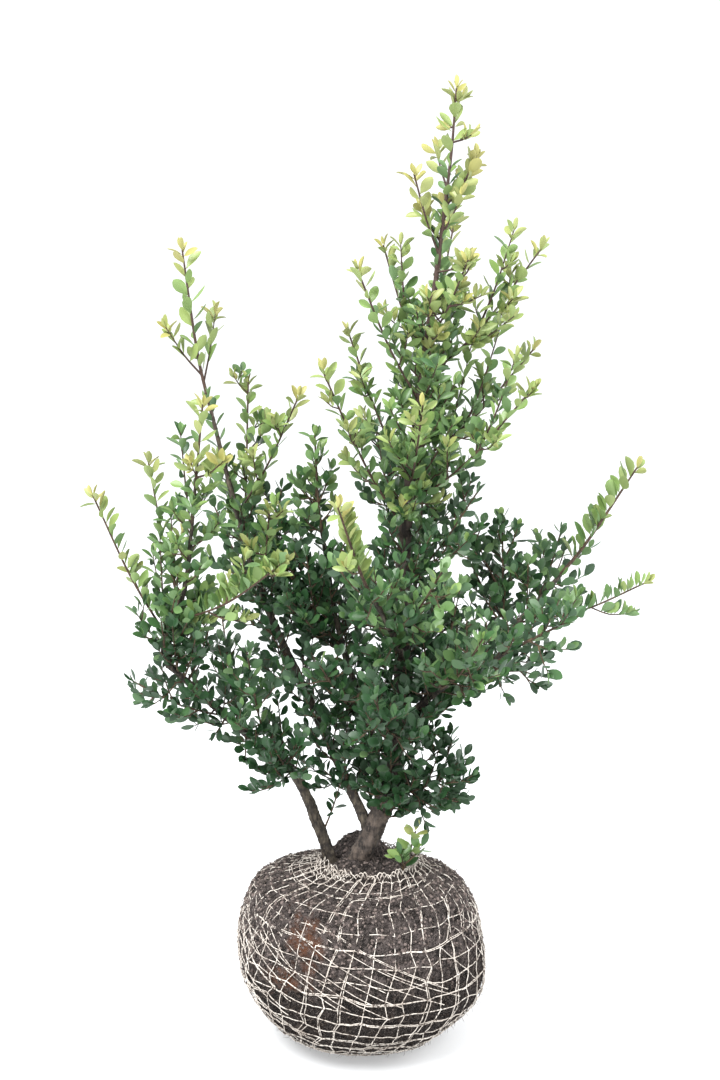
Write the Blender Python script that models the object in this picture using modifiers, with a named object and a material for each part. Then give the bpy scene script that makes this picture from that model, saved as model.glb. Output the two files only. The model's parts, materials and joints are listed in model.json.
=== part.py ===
"""A young Japanese holly shrub, dug up with its root ball and tied in a net.

Metres, +Z up. The origin is the centre of the root ball's flat underside, +X is the shrub's
right and -Y its front. Limbs and sprays stand in two short tables in centimetres. Every ring,
twig and leaf is worked out from them by one growing rule, the same on each run.
"""

import math
import random
from collections import namedtuple

import bmesh
import bpy
import numpy as np
from mathutils import Matrix, Quaternion, Vector
from mathutils.bvhtree import BVHTree

MM = 0.001
CM = 0.01
UP = Vector((0, 0, 1))

# The root ball: a squat round of soil with a flat top and a flat underside.
BALL_RADIUS = 11.2 * CM
BALL_WAIST = 8.1 * CM
BALL_TOP = 15.3 * CM
BALL_CROWN = 7.6 * CM
BALL_KEEL = 8.5 * CM
BALL_CROWN_POWER = 3.0
BALL_KEEL_POWER = 2.5
BALL_SIDES = 16

# The net: twine laid over the ball, gathered round an open neck at the top.
TWINE = 1.8 * MM
NECK_RADIUS = 5.2 * CM
NET_FOOT = 1.4 * CM
NET_ROWS = 5

# Clear space between neighbours that touch on the real plant, and round a leaf.
SEAT_GAP = 0.3 * MM
SEAT_STEP = 0.15 * MM
LEAF_CLEAR = 2.0 * MM
SPACE_MARGIN = 1.2 * MM

# Limbs swell where they leave their carrier, and the trunk flares at the soil. The swelling
# fades over this many times the limb's thickness.
COLLAR_SWELL = 0.35
FOOT_FLARE = 0.45
SWELL_FADE = 2.2
RING_SPACING = 3.8 * CM
TRUNK_SIDES = 10
BOUGH_SIDES = 7

# One leaf: an obovate blade, larger than life because the plant has many more.
LEAF_LENGTH = 33 * MM
LEAF_WIDTH = 17 * MM
LEAF_THICKNESS = 1.8 * MM
LEAF_WIDEST = 0.1
TIP_SINK = 1.5 * MM
LEAF_LEAN = math.radians(52)
LEAF_LIFT = 0.15
TIP_LEANS = (math.radians(12), math.radians(34), math.radians(44))
TIP_SPACING = 6 * MM

# Leaves along a young shoot and along an old twig, and how far they keep from other twigs. A
# leaf that doesn't fit is tried again, turned on and a little shorter.
LEAF_SPACING_NEW = 24 * MM
LEAF_SPACING_OLD = 29 * MM
TWIG_CLEAR = 1.0 * MM
LEAF_TRIES = 4
LEAF_TRY_TURN = math.radians(50)
LEAF_TRY_LOSS = 0.07

# Stems and twigs: three-sided, leaving at a steep angle and turning upward. A stem's radius
# grows with its length, and it stops this share of a leaf's length short of the spray's tip.
STEM_SIDES = 3
STEM_THICK = 0.9 * MM
STEM_GAIN = 5 * MM
STEM_SAG = 0.06
STEM_SPACING = 5 * CM
STEM_SHORT = 0.8
STEM_BARE = 0.16
TWIG_THICK = 1.6 * MM
TWIG_THIN = 1.1 * MM
TWIG_LEAN = math.radians(48)
TWIG_LIFT = 0.2
TWIG_FIRST = 0.3
TWIG_SPAN = 0.5
TWIG_LOSS = 0.3
TWIG_TRIES = 6
TWIG_TRY_TURN = math.radians(60)
GOLDEN_TURN = math.radians(137.5)

# The share of its parts' volume that a spray keeps when they are fused.
LEAST_KEPT = 0.88

# Limbs in centimetres: name, carrier, height where it leaves it (None: at its tip), the points
# that it grows through up to its tip, and its radius in millimetres at foot and tip.
Limb = namedtuple("Limb", "name carrier height through thick thin")
LIMBS = (
    Limb("trunk", "root_ball", None,
         ((-0.5, -0.5, 15.3), (2.4, 0, 22.5), (3.6, 0, 31.5), (3.7, 0.5, 43.5), (4.8, 0.6, 55),
          (6.5, 0, 69), (7.3, 0, 76)), 8.8, 1.4),
    Limb("left_stem", "root_ball", None,
         ((-2.4, 0.6, 15.3), (-5.6, 0.5, 23.6), (-10.3, 0, 28.1), (-16.2, -3, 34.8)), 5.2, 2.4),
    Limb("left_riser", "left_stem", None,
         ((-16.5, -3.1, 36.8), (-14.6, -3.8, 41.5), (-13.4, -5, 50.5)), 2.3, 1.3),
    Limb("left_leader", "trunk", 18.6,
         ((-4.1, 3, 29), (-9.2, 4.5, 40.8), (-13.2, 5, 56.5)), 4.4, 1.6),
    Limb("middle_stem", "trunk", 20.6,
         ((1.0, 4.0, 26.5), (-1.7, 4.4, 35), (-3.3, 3, 45)), 3.6, 1.5),
    Limb("right_arm", "trunk", 26.6,
         ((7.8, 2, 33), (12.5, 3, 35.5), (17.6, 4, 41)), 3.6, 1.7),
    Limb("right_low_arm", "trunk", 28.6,
         ((7.2, -3.2, 33), (12.2, -5.4, 36.6)), 2.9, 1.6),
    Limb("front_bough", "trunk", 34.5,
         ((2.6, -5, 38.2), (0.8, -9.6, 42.6)), 2.7, 1.6),
    Limb("back_bough", "trunk", 30.2,
         ((4.4, 5.2, 34.6), (5.2, 9, 40.5)), 3.0, 1.6),
)

# Sprays in centimetres: name, carrier, height where the stem leaves it (None: at its tip), the
# point that its last leaf reaches, the reach of its side twigs, how many it has, how young its
# leaves are from 0 (old, dark) to 1 (new, yellow), and long shoots as (share of stem, tip).
Spray = namedtuple("Spray", "name carrier height tip reach twigs youth shoots")
SPRAYS = (
    Spray("leader_top", "trunk", None, (7.8, 0, 82.8), 2, 0, 1.0, ()),
    Spray("top_right", "trunk", 72.6, (10.0, 2, 77.2), 2, 0, 1.0, ()),
    Spray("top_left", "trunk", 68.8, (4.1, -2, 76.0), 2, 0, 1.0, ()),
    Spray("upper_front", "trunk", 61.5, (8.8, -5.4, 69.2), 3, 1, 0.9, ()),
    Spray("upper_back", "trunk", 62.5, (8.2, 6.2, 72.0), 3, 1, 0.9, ()),
    Spray("upper_right", "trunk", 58.2, (15.3, -1, 70.0), 4, 2, 0.85, ()),
    Spray("upper_left", "trunk", 59.6, (1.7, 3, 70.2), 3, 1, 0.8, ()),
    Spray("upper_left_front", "trunk", 56.6, (-0.5, -3.4, 68.4), 3, 1, 0.8, ()),
    Spray("leader_back", "trunk", 53.4, (5.0, 8.6, 64.5), 4, 2, 0.6, ()),
    Spray("middle_right", "trunk", 51.0, (15.4, 3.6, 61.4), 4, 2, 0.75, ()),
    Spray("lower_right", "trunk", 47.6, (14.4, -4.4, 58.8), 4, 2, 0.7, ()),
    Spray("leader_back_right", "trunk", 48.6, (11.6, 8.2, 57.0), 4, 2, 0.5, ()),
    Spray("middle_left", "trunk", 49.6, (-1.3, 3.4, 63.0), 4, 2, 0.75, ()),
    Spray("lower_left", "trunk", 45.6, (-3.4, -3.2, 60.4), 4, 2, 0.75, ()),
    Spray("leader_front", "trunk", 49.0, (5.0, -8.6, 58.0), 4, 1, 0.7, ()),
    Spray("leader_back_low", "trunk", 43.6, (1.2, 9.6, 54.0), 4, 2, 0.35, ()),
    Spray("leader_right_low", "trunk", 40.6, (10.4, 0.4, 49.6), 5, 3, 0.3, ()),
    Spray("left_leader_top", "left_leader", None, (-15.2, 5, 69.8), 3, 0, 0.95,
          ((0.15, (-16.9, 3.6, 63.2)), (0.1, (-12.4, 7.4, 64.4)))),
    Spray("left_inner_tall", "left_leader", 46.2, (-4.9, 3, 57.4), 3, 1, 0.8, ()),
    Spray("left_back_tall", "left_leader", 44.0, (-9.9, 9.4, 58.0), 4, 2, 0.7, ()),
    Spray("left_inner_dark", "left_leader", 37.4, (-6.8, 4.8, 49.2), 4, 2, 0.25, ()),
    Spray("left_back", "left_leader", 36.0, (-13.6, 10.8, 46.5), 5, 3, 0.35, ()),
    Spray("left_front", "left_leader", 39.6, (-7.4, -3.6, 48.6), 3, 1, 0.75, ()),
    Spray("riser_top", "left_riser", None, (-12.5, -6, 58.0), 3, 0, 0.95,
          ((0.1, (-10.4, -9, 53.4)),)),
    Spray("far_left", "left_riser", 37.4, (-22.4, -3, 50.0), 3, 1, 0.85, ()),
    Spray("left_upright", "left_riser", 40.0, (-18.0, 0.4, 52.4), 3, 1, 0.8, ()),
    Spray("riser_right", "left_riser", 38.6, (-5.4, -11, 45.8), 4, 2, 0.7, ()),
    Spray("low_left", "left_stem", 29.4, (-19.8, -3.6, 33.8), 4, 2, 0.15,
          ((0.3, (-16.4, 1.4, 28.2)),)),
    Spray("left_inner", "left_stem", 26.2, (-9.4, -6.4, 37.4), 5, 3, 0.3, ()),
    Spray("left_stem_back", "left_stem", 28.2, (-12.6, 8.4, 36.4), 5, 3, 0.2, ()),
    Spray("base_left", "left_stem", 23.4, (-7.4, -5.2, 28.4), 4, 2, 0.1, ()),
    Spray("middle_top", "middle_stem", None, (-3.9, 2, 54.4), 3, 1, 0.55, ()),
    Spray("middle_left_low", "middle_stem", 34.0, (-6.4, 0.4, 43.0), 4, 2, 0.2, ()),
    Spray("middle_back", "middle_stem", 31.5, (-2.6, 11.2, 41.5), 5, 3, 0.2, ()),
    Spray("middle_front", "middle_stem", 27.8, (-3.6, -6.2, 36.0), 5, 3, 0.15, ()),
    Spray("front_top", "front_bough", None, (-1.9, -14, 51.0), 3, 1, 0.9, ()),
    Spray("front_side", "front_bough", 37.8, (6.8, -11.6, 45.4), 4, 2, 0.5, ()),
    Spray("front_low", "trunk", 27.4, (1.0, -11.4, 34.6), 5, 3, 0.15, ()),
    Spray("right_arm_top", "right_arm", None, (24.6, 5, 51.0), 4, 1, 0.7, ()),
    Spray("right_side", "right_arm", 36.8, (25.3, 0.4, 41.4), 4, 2, 0.6, ()),
    Spray("right_bottom", "right_arm", 34.6, (17.4, 7.2, 30.4), 4, 2, 0.1, ()),
    Spray("right_shelf", "right_arm", 35.6, (12.6, 6.6, 46.4), 5, 3, 0.15, ()),
    Spray("right_back", "right_arm", 38.6, (18.6, 11.2, 44.0), 5, 3, 0.25, ()),
    Spray("right_low_tip", "right_low_arm", None, (18.6, -7.4, 40.6), 4, 3, 0.3, ()),
    Spray("front_right", "right_low_arm", 32.6, (9.8, -12.8, 40.0), 5, 3, 0.4, ()),
    Spray("low_right", "trunk", 21.8, (9.8, -2.4, 26.0), 4, 3, 0.1, ()),
    Spray("back_top", "back_bough", None, (6.0, 13.6, 50.0), 5, 3, 0.35, ()),
    Spray("back_low", "back_bough", 34.8, (8.4, 12.4, 35.0), 4, 3, 0.15, ()),
    Spray("foot_sprout", "root_ball", None, (5.0, -2.6, 20.4), 1, 0, 0.9, ()),
)
SPROUT_FOOT = Vector((3.6, -1.8, 0)) * CM

BARK = (0.20, 0.145, 0.105, 1)
SOIL = (0.062, 0.047, 0.04, 1)
TWINE_COLOUR = (0.62, 0.55, 0.44, 1)
OLD_LEAF = (0.02, 0.08, 0.035)
NEW_LEAF = (0.42, 0.55, 0.08)

Leaf = namedtuple("Leaf", "root along normal length")
Twig = namedtuple("Twig", "points thick thin")


def centimetres(point):
    return Vector(point) * CM


def clear_scene():
    for thing in list(bpy.data.objects):
        bpy.data.objects.remove(thing)


def new_collection(name):
    collection = bpy.data.collections.new(name)
    bpy.context.scene.collection.children.link(collection)
    return collection


def material(name, colour, roughness):
    made = bpy.data.materials.new(name)
    made.use_nodes = True
    made.diffuse_color = colour
    shader = made.node_tree.nodes["Principled BSDF"]
    shader.inputs["Base Color"].default_value = colour
    shader.inputs["Roughness"].default_value = roughness
    shader.inputs["Metallic"].default_value = 0.0
    return made


def leaf_material(name, youth):
    old, new = Vector(OLD_LEAF), Vector(NEW_LEAF)
    return material(name, (*old.lerp(new, youth), 1), 0.35)


def add_object(name, mesh, collection, finish=None):
    made = bpy.data.objects.new(name, mesh)
    collection.objects.link(made)
    if finish:
        mesh.materials.clear()
        mesh.materials.append(finish)
    return made


class Path:
    """A smooth line through a few points, cut into short straight stretches."""

    def __init__(self, knots, spacing):
        knots = [Vector(knot) for knot in knots]
        ends = [2 * knots[0] - knots[1], *knots, 2 * knots[-1] - knots[-2]]
        self.points = [knots[0]]
        for before, start, end, after in zip(ends, ends[1:], ends[2:], ends[3:]):
            steps = max(1, round((end - start).length / spacing))
            for step in range(1, steps + 1):
                self.points.append(self.between(before, start, end, after, step / steps))
        self.walked = [0.0]
        for start, end in zip(self.points, self.points[1:]):
            self.walked.append(self.walked[-1] + (end - start).length)
        self.length = self.walked[-1]
        self.sides = self.carried_sides()

    def carried_sides(self):
        """A vector square to each stretch, carried along the line without any twist."""
        heading = (self.points[1] - self.points[0]).normalized()
        side = heading.cross(UP)
        side = side if side.length > 0.05 else heading.orthogonal()
        sides = []
        for start, end in zip(self.points, self.points[1:]):
            heading = (end - start).normalized()
            side = (side - heading * side.dot(heading)).normalized()
            sides.append(side)
        return sides

    @staticmethod
    def between(before, start, end, after, t):
        """The Catmull-Rom point a share t of the way from start to end."""
        lean = (end - before) * t
        curve = (2 * before - 5 * start + 4 * end - after) * t**2
        twist = (3 * start - before - 3 * end + after) * t**3
        return start + (lean + curve + twist) / 2

    def place(self, distance):
        """The stretch that holds this distance, and the share of it that is walked."""
        stretch = int(np.searchsorted(self.walked, distance, side="right")) - 1
        stretch = min(max(stretch, 0), len(self.points) - 2)
        size = self.walked[stretch + 1] - self.walked[stretch]
        return stretch, (distance - self.walked[stretch]) / size

    def at(self, distance):
        stretch, share = self.place(distance)
        return self.points[stretch].lerp(self.points[stretch + 1], share)

    def heading(self, distance):
        stretch, _ = self.place(distance)
        return (self.points[stretch + 1] - self.points[stretch]).normalized()

    def outward(self, distance, turn):
        """The direction square to the line at a turn round it."""
        stretch, _ = self.place(distance)
        return Quaternion(self.heading(distance), turn) @ self.sides[stretch]

    def distance_at_height(self, height):
        return float(np.interp(height, [point.z for point in self.points], self.walked))


class Wood:
    """A limb's path with its thickness, and how far a point is from its bark."""

    def __init__(self, path, thick, thin, flare=0.0):
        self.path = path
        self.thick = thick
        self.thin = thin
        self.flare = flare
        points = np.array(path.points)
        self.starts = points[:-1]
        self.runs = points[1:] - points[:-1]

    def radius(self, distance):
        share = min(max(distance / self.path.length, 0.0), 1.0)
        swell = self.flare * math.exp(-distance / (SWELL_FADE * self.thick))
        return (self.thick + (self.thin - self.thick) * share) * (1 + swell)

    def clearance(self, point):
        offset = np.array(point) - self.starts
        squares = (self.runs**2).sum(axis=1)
        share = np.clip((offset * self.runs).sum(axis=1) / squares, 0, 1)
        gaps = np.linalg.norm(offset - self.runs * share[:, None], axis=1)
        nearest = int(gaps.argmin())
        size = self.path.walked[nearest + 1] - self.path.walked[nearest]
        return gaps[nearest] - self.radius(self.path.walked[nearest] + size * share[nearest])


def ring_directions(path, distance, sides):
    return [path.outward(distance, math.tau * k / sides) for k in range(sides)]


def seated(wood, carrier, offset, clear):
    """The distance along wood's path where a line beside it comes clear of its carrier."""
    distance = 0.0
    while carrier.clearance(wood.path.at(distance) + offset) < clear:
        distance += SEAT_STEP
    return distance


def seat_ring(wood, carrier, sides):
    """A ring and its middle point, shaped to lie on the carrier's bark."""
    radius = wood.radius(0)
    clear = SEAT_GAP + min(radius**2 / (8 * carrier.thin), SEAT_GAP)
    offsets = [way * radius for way in ring_directions(wood.path, 2 * carrier.radius(0), sides)]
    reached = [seated(wood, carrier, offset, clear) for offset in offsets]
    ring = [wood.path.at(d) + offset for d, offset in zip(reached, offsets)]
    middle_distance = seated(wood, carrier, Vector(), clear)
    return ring, wood.path.at(middle_distance), max(reached)


def flat_ring(wood, distance, sides):
    directions = ring_directions(wood.path, distance, sides)
    return [wood.path.at(distance) + wood.radius(distance) * way for way in directions]


def cut_ring(wood, sides, square_to):
    """The ring of a foot that is cut square to a direction, not to its own heading."""
    foot, heading = wood.path.points[0], wood.path.heading(0)
    slope = heading.dot(square_to)
    ring = flat_ring(wood, 0, sides)
    return [point - heading * (point - foot).dot(square_to) / slope for point in ring]


def close_tube(rings, middle):
    """A closed mesh through rings of points, its first end drawn to a middle point if given."""
    frame = bmesh.new()
    rows = [[frame.verts.new(point) for point in ring] for ring in rings]
    sides = len(rings[0])
    for low, high in zip(rows, rows[1:]):
        for k in range(sides):
            after = (k + 1) % sides
            frame.faces.new((low[k], low[after], high[after], high[k]))
    if middle is None:
        frame.faces.new(rows[0])
    else:
        hub = frame.verts.new(middle)
        for k in range(sides):
            frame.faces.new((rows[0][(k + 1) % sides], rows[0][k], hub))
    frame.faces.new(rows[-1])
    bmesh.ops.recalc_face_normals(frame, faces=frame.faces)
    mesh = bpy.data.meshes.new("tube")
    frame.to_mesh(mesh)
    frame.free()
    return mesh


def wood_mesh(wood, carrier, sides, at_tip):
    """The closed, tapering mesh of a limb or stem from its seat to its tip."""
    if at_tip:
        square_to = carrier.path.heading(carrier.path.length) if carrier else UP
        first, middle, start = cut_ring(wood, sides, square_to), None, 0.0
    else:
        first, middle, start = seat_ring(wood, carrier, sides)
    start += wood.radius(start)
    rings = [first, flat_ring(wood, start, sides)]
    for distance in wood.path.walked:
        if distance > start + wood.radius(start):
            rings.append(flat_ring(wood, distance, sides))
    return close_tube(rings, middle)


def limb_path(limb, woods):
    knots = [centimetres(point) for point in limb.through]
    if limb.carrier == "root_ball":
        knots[0].z += SEAT_GAP
        return Path(knots, RING_SPACING)
    return Path([foot_on(woods[limb.carrier], limb.height), *knots], RING_SPACING)


def foot_on(carrier, height):
    """Where a stem starts: on the carrier's axis at a height, or just past its tip."""
    path = carrier.path
    if height is None:
        return path.points[-1] + path.heading(path.length) * SEAT_GAP
    return path.at(path.distance_at_height(height * CM))


def grow_limbs():
    woods = {}
    for limb in LIMBS:
        flare = FOOT_FLARE if limb.carrier == "root_ball" else COLLAR_SWELL
        if limb.height is None and limb.carrier != "root_ball":
            flare = 0.0
        woods[limb.name] = Wood(limb_path(limb, woods), limb.thick * MM, limb.thin * MM, flare)
    return woods


def build_limbs(woods, collection):
    for limb in LIMBS:
        carrier = woods.get(limb.carrier)
        sides = TRUNK_SIDES if limb.name == "trunk" else BOUGH_SIDES
        mesh = wood_mesh(woods[limb.name], carrier, sides, limb.height is None)
        made = add_object(limb.name, mesh, collection, material(f"{limb.name}_bark", BARK, 0.85))
        made.data.shade_smooth()


def stem_end(foot, tip):
    """The stem stops short of the spray's tip, because its last leaves reach on to it."""
    return tip - (tip - foot).normalized() * STEM_SHORT * LEAF_LENGTH


def sagging(start, end):
    middle = (start + end) / 2
    return middle - UP * STEM_SAG * (end - start).length


def tip_stem(carrier, tip):
    """A stem that goes on from its carrier's tip, first in the carrier's own direction."""
    foot = foot_on(carrier, None)
    end = stem_end(foot, tip)
    third = (end - foot) / 3
    lead = carrier.path.heading(carrier.path.length) * third.length
    return Wood(Path([foot, foot + (third + lead) / 2, end], STEM_SPACING), carrier.thin, TWIG_THIN)


def side_stem(foot, tip):
    end = stem_end(foot, tip)
    thick = STEM_THICK + STEM_GAIN * (end - foot).length
    return Wood(Path([foot, sagging(foot, end), end], STEM_SPACING), thick, TWIG_THIN)


def spray_stem(spray, woods):
    """The stem's wood, and the wood or None that carries it."""
    tip = centimetres(spray.tip)
    if spray.carrier == "root_ball":
        return side_stem(SPROUT_FOOT + UP * (BALL_TOP + SEAT_GAP), tip), None
    carrier = woods[spray.carrier]
    if spray.height is None:
        return tip_stem(carrier, tip), carrier
    return side_stem(foot_on(carrier, spray.height), tip), carrier


def shoot_wood(stem, share, tip):
    foot = stem.path.at(stem.path.length * share)
    end = stem_end(foot, centimetres(tip))
    return Wood(Path([foot, sagging(foot, end), end], STEM_SPACING), TWIG_THICK, TWIG_THIN)


def twig_wood(stem, distance, turn, reach):
    """A side twig that leaves a stem at a turn round it, and bends a little upward."""
    heading = stem.path.heading(distance)
    outward = stem.path.outward(distance, turn)
    way = (heading * math.cos(TWIG_LEAN) + outward * math.sin(TWIG_LEAN)).normalized()
    foot = stem.path.at(distance)
    middle = foot + way * reach / 2
    end = foot + (way + UP * TWIG_LIFT).normalized() * reach
    return Wood(Path([foot, middle, end], STEM_SPACING), TWIG_THICK, TWIG_THIN)


class Spaces:
    """Which spray each point in the crown belongs to: the one whose stems are nearest."""

    def __init__(self, skeletons, woods):
        starts, runs, owners = [], [], []
        self.names = list(skeletons)
        for index, name in enumerate(self.names):
            for wood in skeletons[name]:
                starts.append(wood.starts)
                runs.append(wood.runs)
                owners += [index] * len(wood.starts)
        self.starts = np.concatenate(starts)
        self.runs = np.concatenate(runs)
        self.owners = np.array(owners)
        self.squares = (self.runs**2).sum(axis=1)
        self.woods = woods

    def holds(self, name, point):
        offset = np.array(point) - self.starts
        share = np.clip((offset * self.runs).sum(axis=1) / self.squares, 0, 1)
        gaps = np.linalg.norm(offset - self.runs * share[:, None], axis=1)
        own = self.owners == self.names.index(name)
        return gaps[own].min() + SPACE_MARGIN < gaps[~own].min()

    def clear(self, point, clear):
        if point.z < BALL_TOP + LEAF_CLEAR and math.hypot(point.x, point.y) < BALL_RADIUS:
            return False
        return all(wood.clearance(point) > clear for wood in self.woods)

    def takes(self, name, points, clear):
        return all(self.holds(name, point) and self.clear(point, clear) for point in points)


def leaf_samples(leaf):
    """Points all over a leaf's blade, from just past its root to its tip."""
    across = leaf.normal.cross(leaf.along)
    for share, spread in ((0.2, 0), (0.35, 0.35), (0.6, 0.5), (0.8, 0.3), (1, 0)):
        middle = leaf.root + leaf.along * leaf.length * share
        half = across * LEAF_WIDTH * spread
        yield from (middle, middle + half, middle - half)


def blade_tree(leaf, blank):
    """The surface of a leaf, to see what it cuts."""
    mesh = place_leaf(leaf, blank)
    points = [corner.co.copy() for corner in mesh.vertices]
    faces = [tuple(face.vertices) for face in mesh.polygons]
    bpy.data.meshes.remove(mesh)
    return BVHTree.FromPolygons(points, faces)


def leaf_at(path, distance, turn, lean, length):
    heading = path.heading(distance)
    outward = path.outward(distance, turn)
    along = heading * math.cos(lean) + outward * math.sin(lean) + UP * LEAF_LIFT
    along.normalize()
    normal = (heading - along * heading.dot(along)).normalized()
    return Leaf(path.at(distance), along, normal, length)


class Foliage:
    """The leaves of one spray, which keep to its space and clear of each other."""

    def __init__(self, name, spaces, woods, blank):
        self.name = name
        self.spaces = spaces
        self.woods = woods
        self.blank = blank
        self.leaves = []
        self.trees = []

    def fits(self, leaf):
        samples = list(leaf_samples(leaf))
        if not self.spaces.takes(self.name, samples, LEAF_CLEAR):
            return False
        if any(wood.clearance(point) < TWIG_CLEAR for wood in self.woods for point in samples[3:]):
            return False
        tree = blade_tree(leaf, self.blank)
        for other, other_tree in zip(self.leaves, self.trees):
            if (other.root - leaf.root).length < 2 * LEAF_LENGTH and tree.overlap(other_tree):
                return False
        self.trees.append(tree)
        return True

    def add(self, path, distance, turn, lean, length):
        """Adds the first of a few tries, each turned on and shortened, that fits."""
        for attempt in range(LEAF_TRIES):
            tried_turn = turn + attempt * LEAF_TRY_TURN
            tried_length = length * (1 - LEAF_TRY_LOSS * attempt)
            leaf = leaf_at(path, distance, tried_turn, lean, tried_length)
            if self.fits(leaf):
                self.leaves.append(leaf)
                return

    def cover(self, path, first, spacing, rng):
        """Leaves set by the golden turn along a stem or twig, and a tuft at its tip."""
        turn = rng.uniform(0, math.tau)
        for k, lean in enumerate(TIP_LEANS):
            self.add(path, path.length - TIP_SINK - k * TIP_SPACING, turn, lean, LEAF_LENGTH)
            turn += GOLDEN_TURN
        distance = first
        while distance < path.length - spacing * 0.6 - TIP_SPACING * 2:
            self.add(path, distance, turn, LEAF_LEAN, LEAF_LENGTH * rng.uniform(0.85, 1.0))
            turn += GOLDEN_TURN
            distance += spacing


def fitting_twig(name, stem, distance, turn, reach, spaces):
    """A list with the first twig, of a few turned on round the stem, that fits its space."""
    for attempt in range(TWIG_TRIES):
        twig = twig_wood(stem, distance, turn + attempt * TWIG_TRY_TURN, reach)
        samples = [twig.path.at(twig.path.length * share) for share in (0.4, 0.7, 1)]
        if spaces.takes(name, samples, LEAF_CLEAR):
            return [twig]
    return []


def grow_spray(spray, skeleton, spaces, blank):
    """The side twigs and leaves of a spray that keep to its own space."""
    rng = random.Random(spray.name)
    stem, shoots = skeleton[0], skeleton[1:]
    twigs = []
    turn = rng.uniform(0, math.tau)
    for k in range(spray.twigs):
        share = k / spray.twigs
        distance = stem.path.length * (TWIG_FIRST + TWIG_SPAN * share)
        reach = spray.reach * CM * rng.uniform(0.85, 1.1) * (1 - TWIG_LOSS * share)
        twigs += fitting_twig(spray.name, stem, distance, turn, reach, spaces)
        turn += GOLDEN_TURN
    spacing = LEAF_SPACING_NEW if spray.youth > 0.5 else LEAF_SPACING_OLD
    foliage = Foliage(spray.name, spaces, [stem, *shoots, *twigs], blank)
    foliage.cover(stem.path, STEM_BARE * stem.path.length, spacing, rng)
    for wood in shoots + twigs:
        foliage.cover(wood.path, spacing * 0.7, spacing, rng)
    return shoots + twigs, foliage.leaves


def leaf_blank():
    """One leaf a unit long from its root at the origin along +Z, a unit wide and thick."""
    frame = bmesh.new()
    bmesh.ops.create_uvsphere(frame, u_segments=4, v_segments=2, radius=0.5)
    for corner in frame.verts:
        corner.co.z += 0.5
        if abs(corner.co.x) > 0.4:
            corner.co.z += LEAF_WIDEST
        if abs(corner.co.y) > 0.4:
            corner.co.z -= LEAF_WIDEST
    mesh = bpy.data.meshes.new("leaf")
    frame.to_mesh(mesh)
    frame.free()
    return mesh


def place_leaf(leaf, blank):
    mesh = blank.copy()
    across = leaf.normal.cross(leaf.along)
    columns = (across * LEAF_WIDTH, leaf.normal * LEAF_THICKNESS, leaf.along * leaf.length)
    turn = Matrix(columns).transposed().to_4x4()
    mesh.transform(Matrix.Translation(leaf.root) @ turn)
    return mesh


def twig_mesh(wood):
    return close_tube([flat_ring(wood, distance, 3) for distance in wood.path.walked], None)


def union_mesh(stem_mesh, extras, solver):
    """The stem, twigs and leaves as one surface, joined by one Boolean on a collection."""
    gathered = new_collection("joined")
    for mesh in extras:
        add_object("extra", mesh.copy(), gathered)
    stem = add_object("stem", stem_mesh.copy(), bpy.context.scene.collection)
    join = stem.modifiers.new("join", "BOOLEAN")
    join.operation = "UNION"
    join.operand_type = "COLLECTION"
    join.collection = gathered
    join.solver = solver
    graph = bpy.context.evaluated_depsgraph_get()
    joined = bpy.data.meshes.new_from_object(stem.evaluated_get(graph))
    for thing in [stem, *gathered.objects]:
        bpy.data.objects.remove(thing)
    bpy.data.collections.remove(gathered)
    return joined


def main_shell(mesh):
    """Keeps the largest shell, which fills sealed hollows and drops loose scraps.

    Returns its volume, or 0 if it isn't one closed surface.
    """
    frame = bmesh.new()
    frame.from_mesh(mesh)
    bmesh.ops.triangulate(frame, faces=frame.faces)
    unseen = set(frame.faces)
    shells = []
    while unseen:
        shell, rim = set(), [unseen.pop()]
        while rim:
            face = rim.pop()
            shell.add(face)
            near = {other for edge in face.edges for other in edge.link_faces} & unseen
            unseen -= near
            rim += near
        shells.append(shell)
    shells.sort(key=len)
    scraps = [face for shell in shells[:-1] for face in shell]
    bmesh.ops.delete(frame, geom=scraps, context="FACES")
    closed = all(edge.is_manifold for edge in frame.edges)
    volume = frame.calc_volume() if closed else 0.0
    frame.to_mesh(mesh)
    frame.free()
    return volume


def volume_of(mesh):
    frame = bmesh.new()
    frame.from_mesh(mesh)
    volume = frame.calc_volume()
    frame.free()
    return volume


def fused_spray(stem_mesh, twigs, leaves, blank):
    """One closed mesh of a spray, with fewer leaves where a union fails twice."""
    for kept in range(len(leaves), -1, -1):
        extras = [twig_mesh(twig) for twig in twigs]
        extras += [place_leaf(leaf, blank) for leaf in leaves[:kept]]
        whole = sum(volume_of(mesh) for mesh in [stem_mesh, *extras])
        for solver in ("EXACT", "MANIFOLD"):
            mesh = union_mesh(stem_mesh, extras, solver)
            if main_shell(mesh) > LEAST_KEPT * whole:
                return mesh
    return stem_mesh


def build_sprays(woods, collection):
    carried = {spray.name: spray_stem(spray, woods) for spray in SPRAYS}
    skeletons = {}
    for spray in SPRAYS:
        stem, _ = carried[spray.name]
        shoots = [shoot_wood(stem, share, tip) for share, tip in spray.shoots]
        skeletons[spray.name] = [stem, *shoots]
    spaces = Spaces(skeletons, list(woods.values()))
    blank = leaf_blank()
    for spray in SPRAYS:
        stem, carrier = carried[spray.name]
        stem_mesh = wood_mesh(stem, carrier, STEM_SIDES, spray.height is None)
        twigs, leaves = grow_spray(spray, skeletons[spray.name], spaces, blank)
        mesh = fused_spray(stem_mesh, twigs, leaves, blank)
        finish = leaf_material(f"{spray.name}_leaves", spray.youth)
        add_object(spray.name, mesh, collection, finish)


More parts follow.
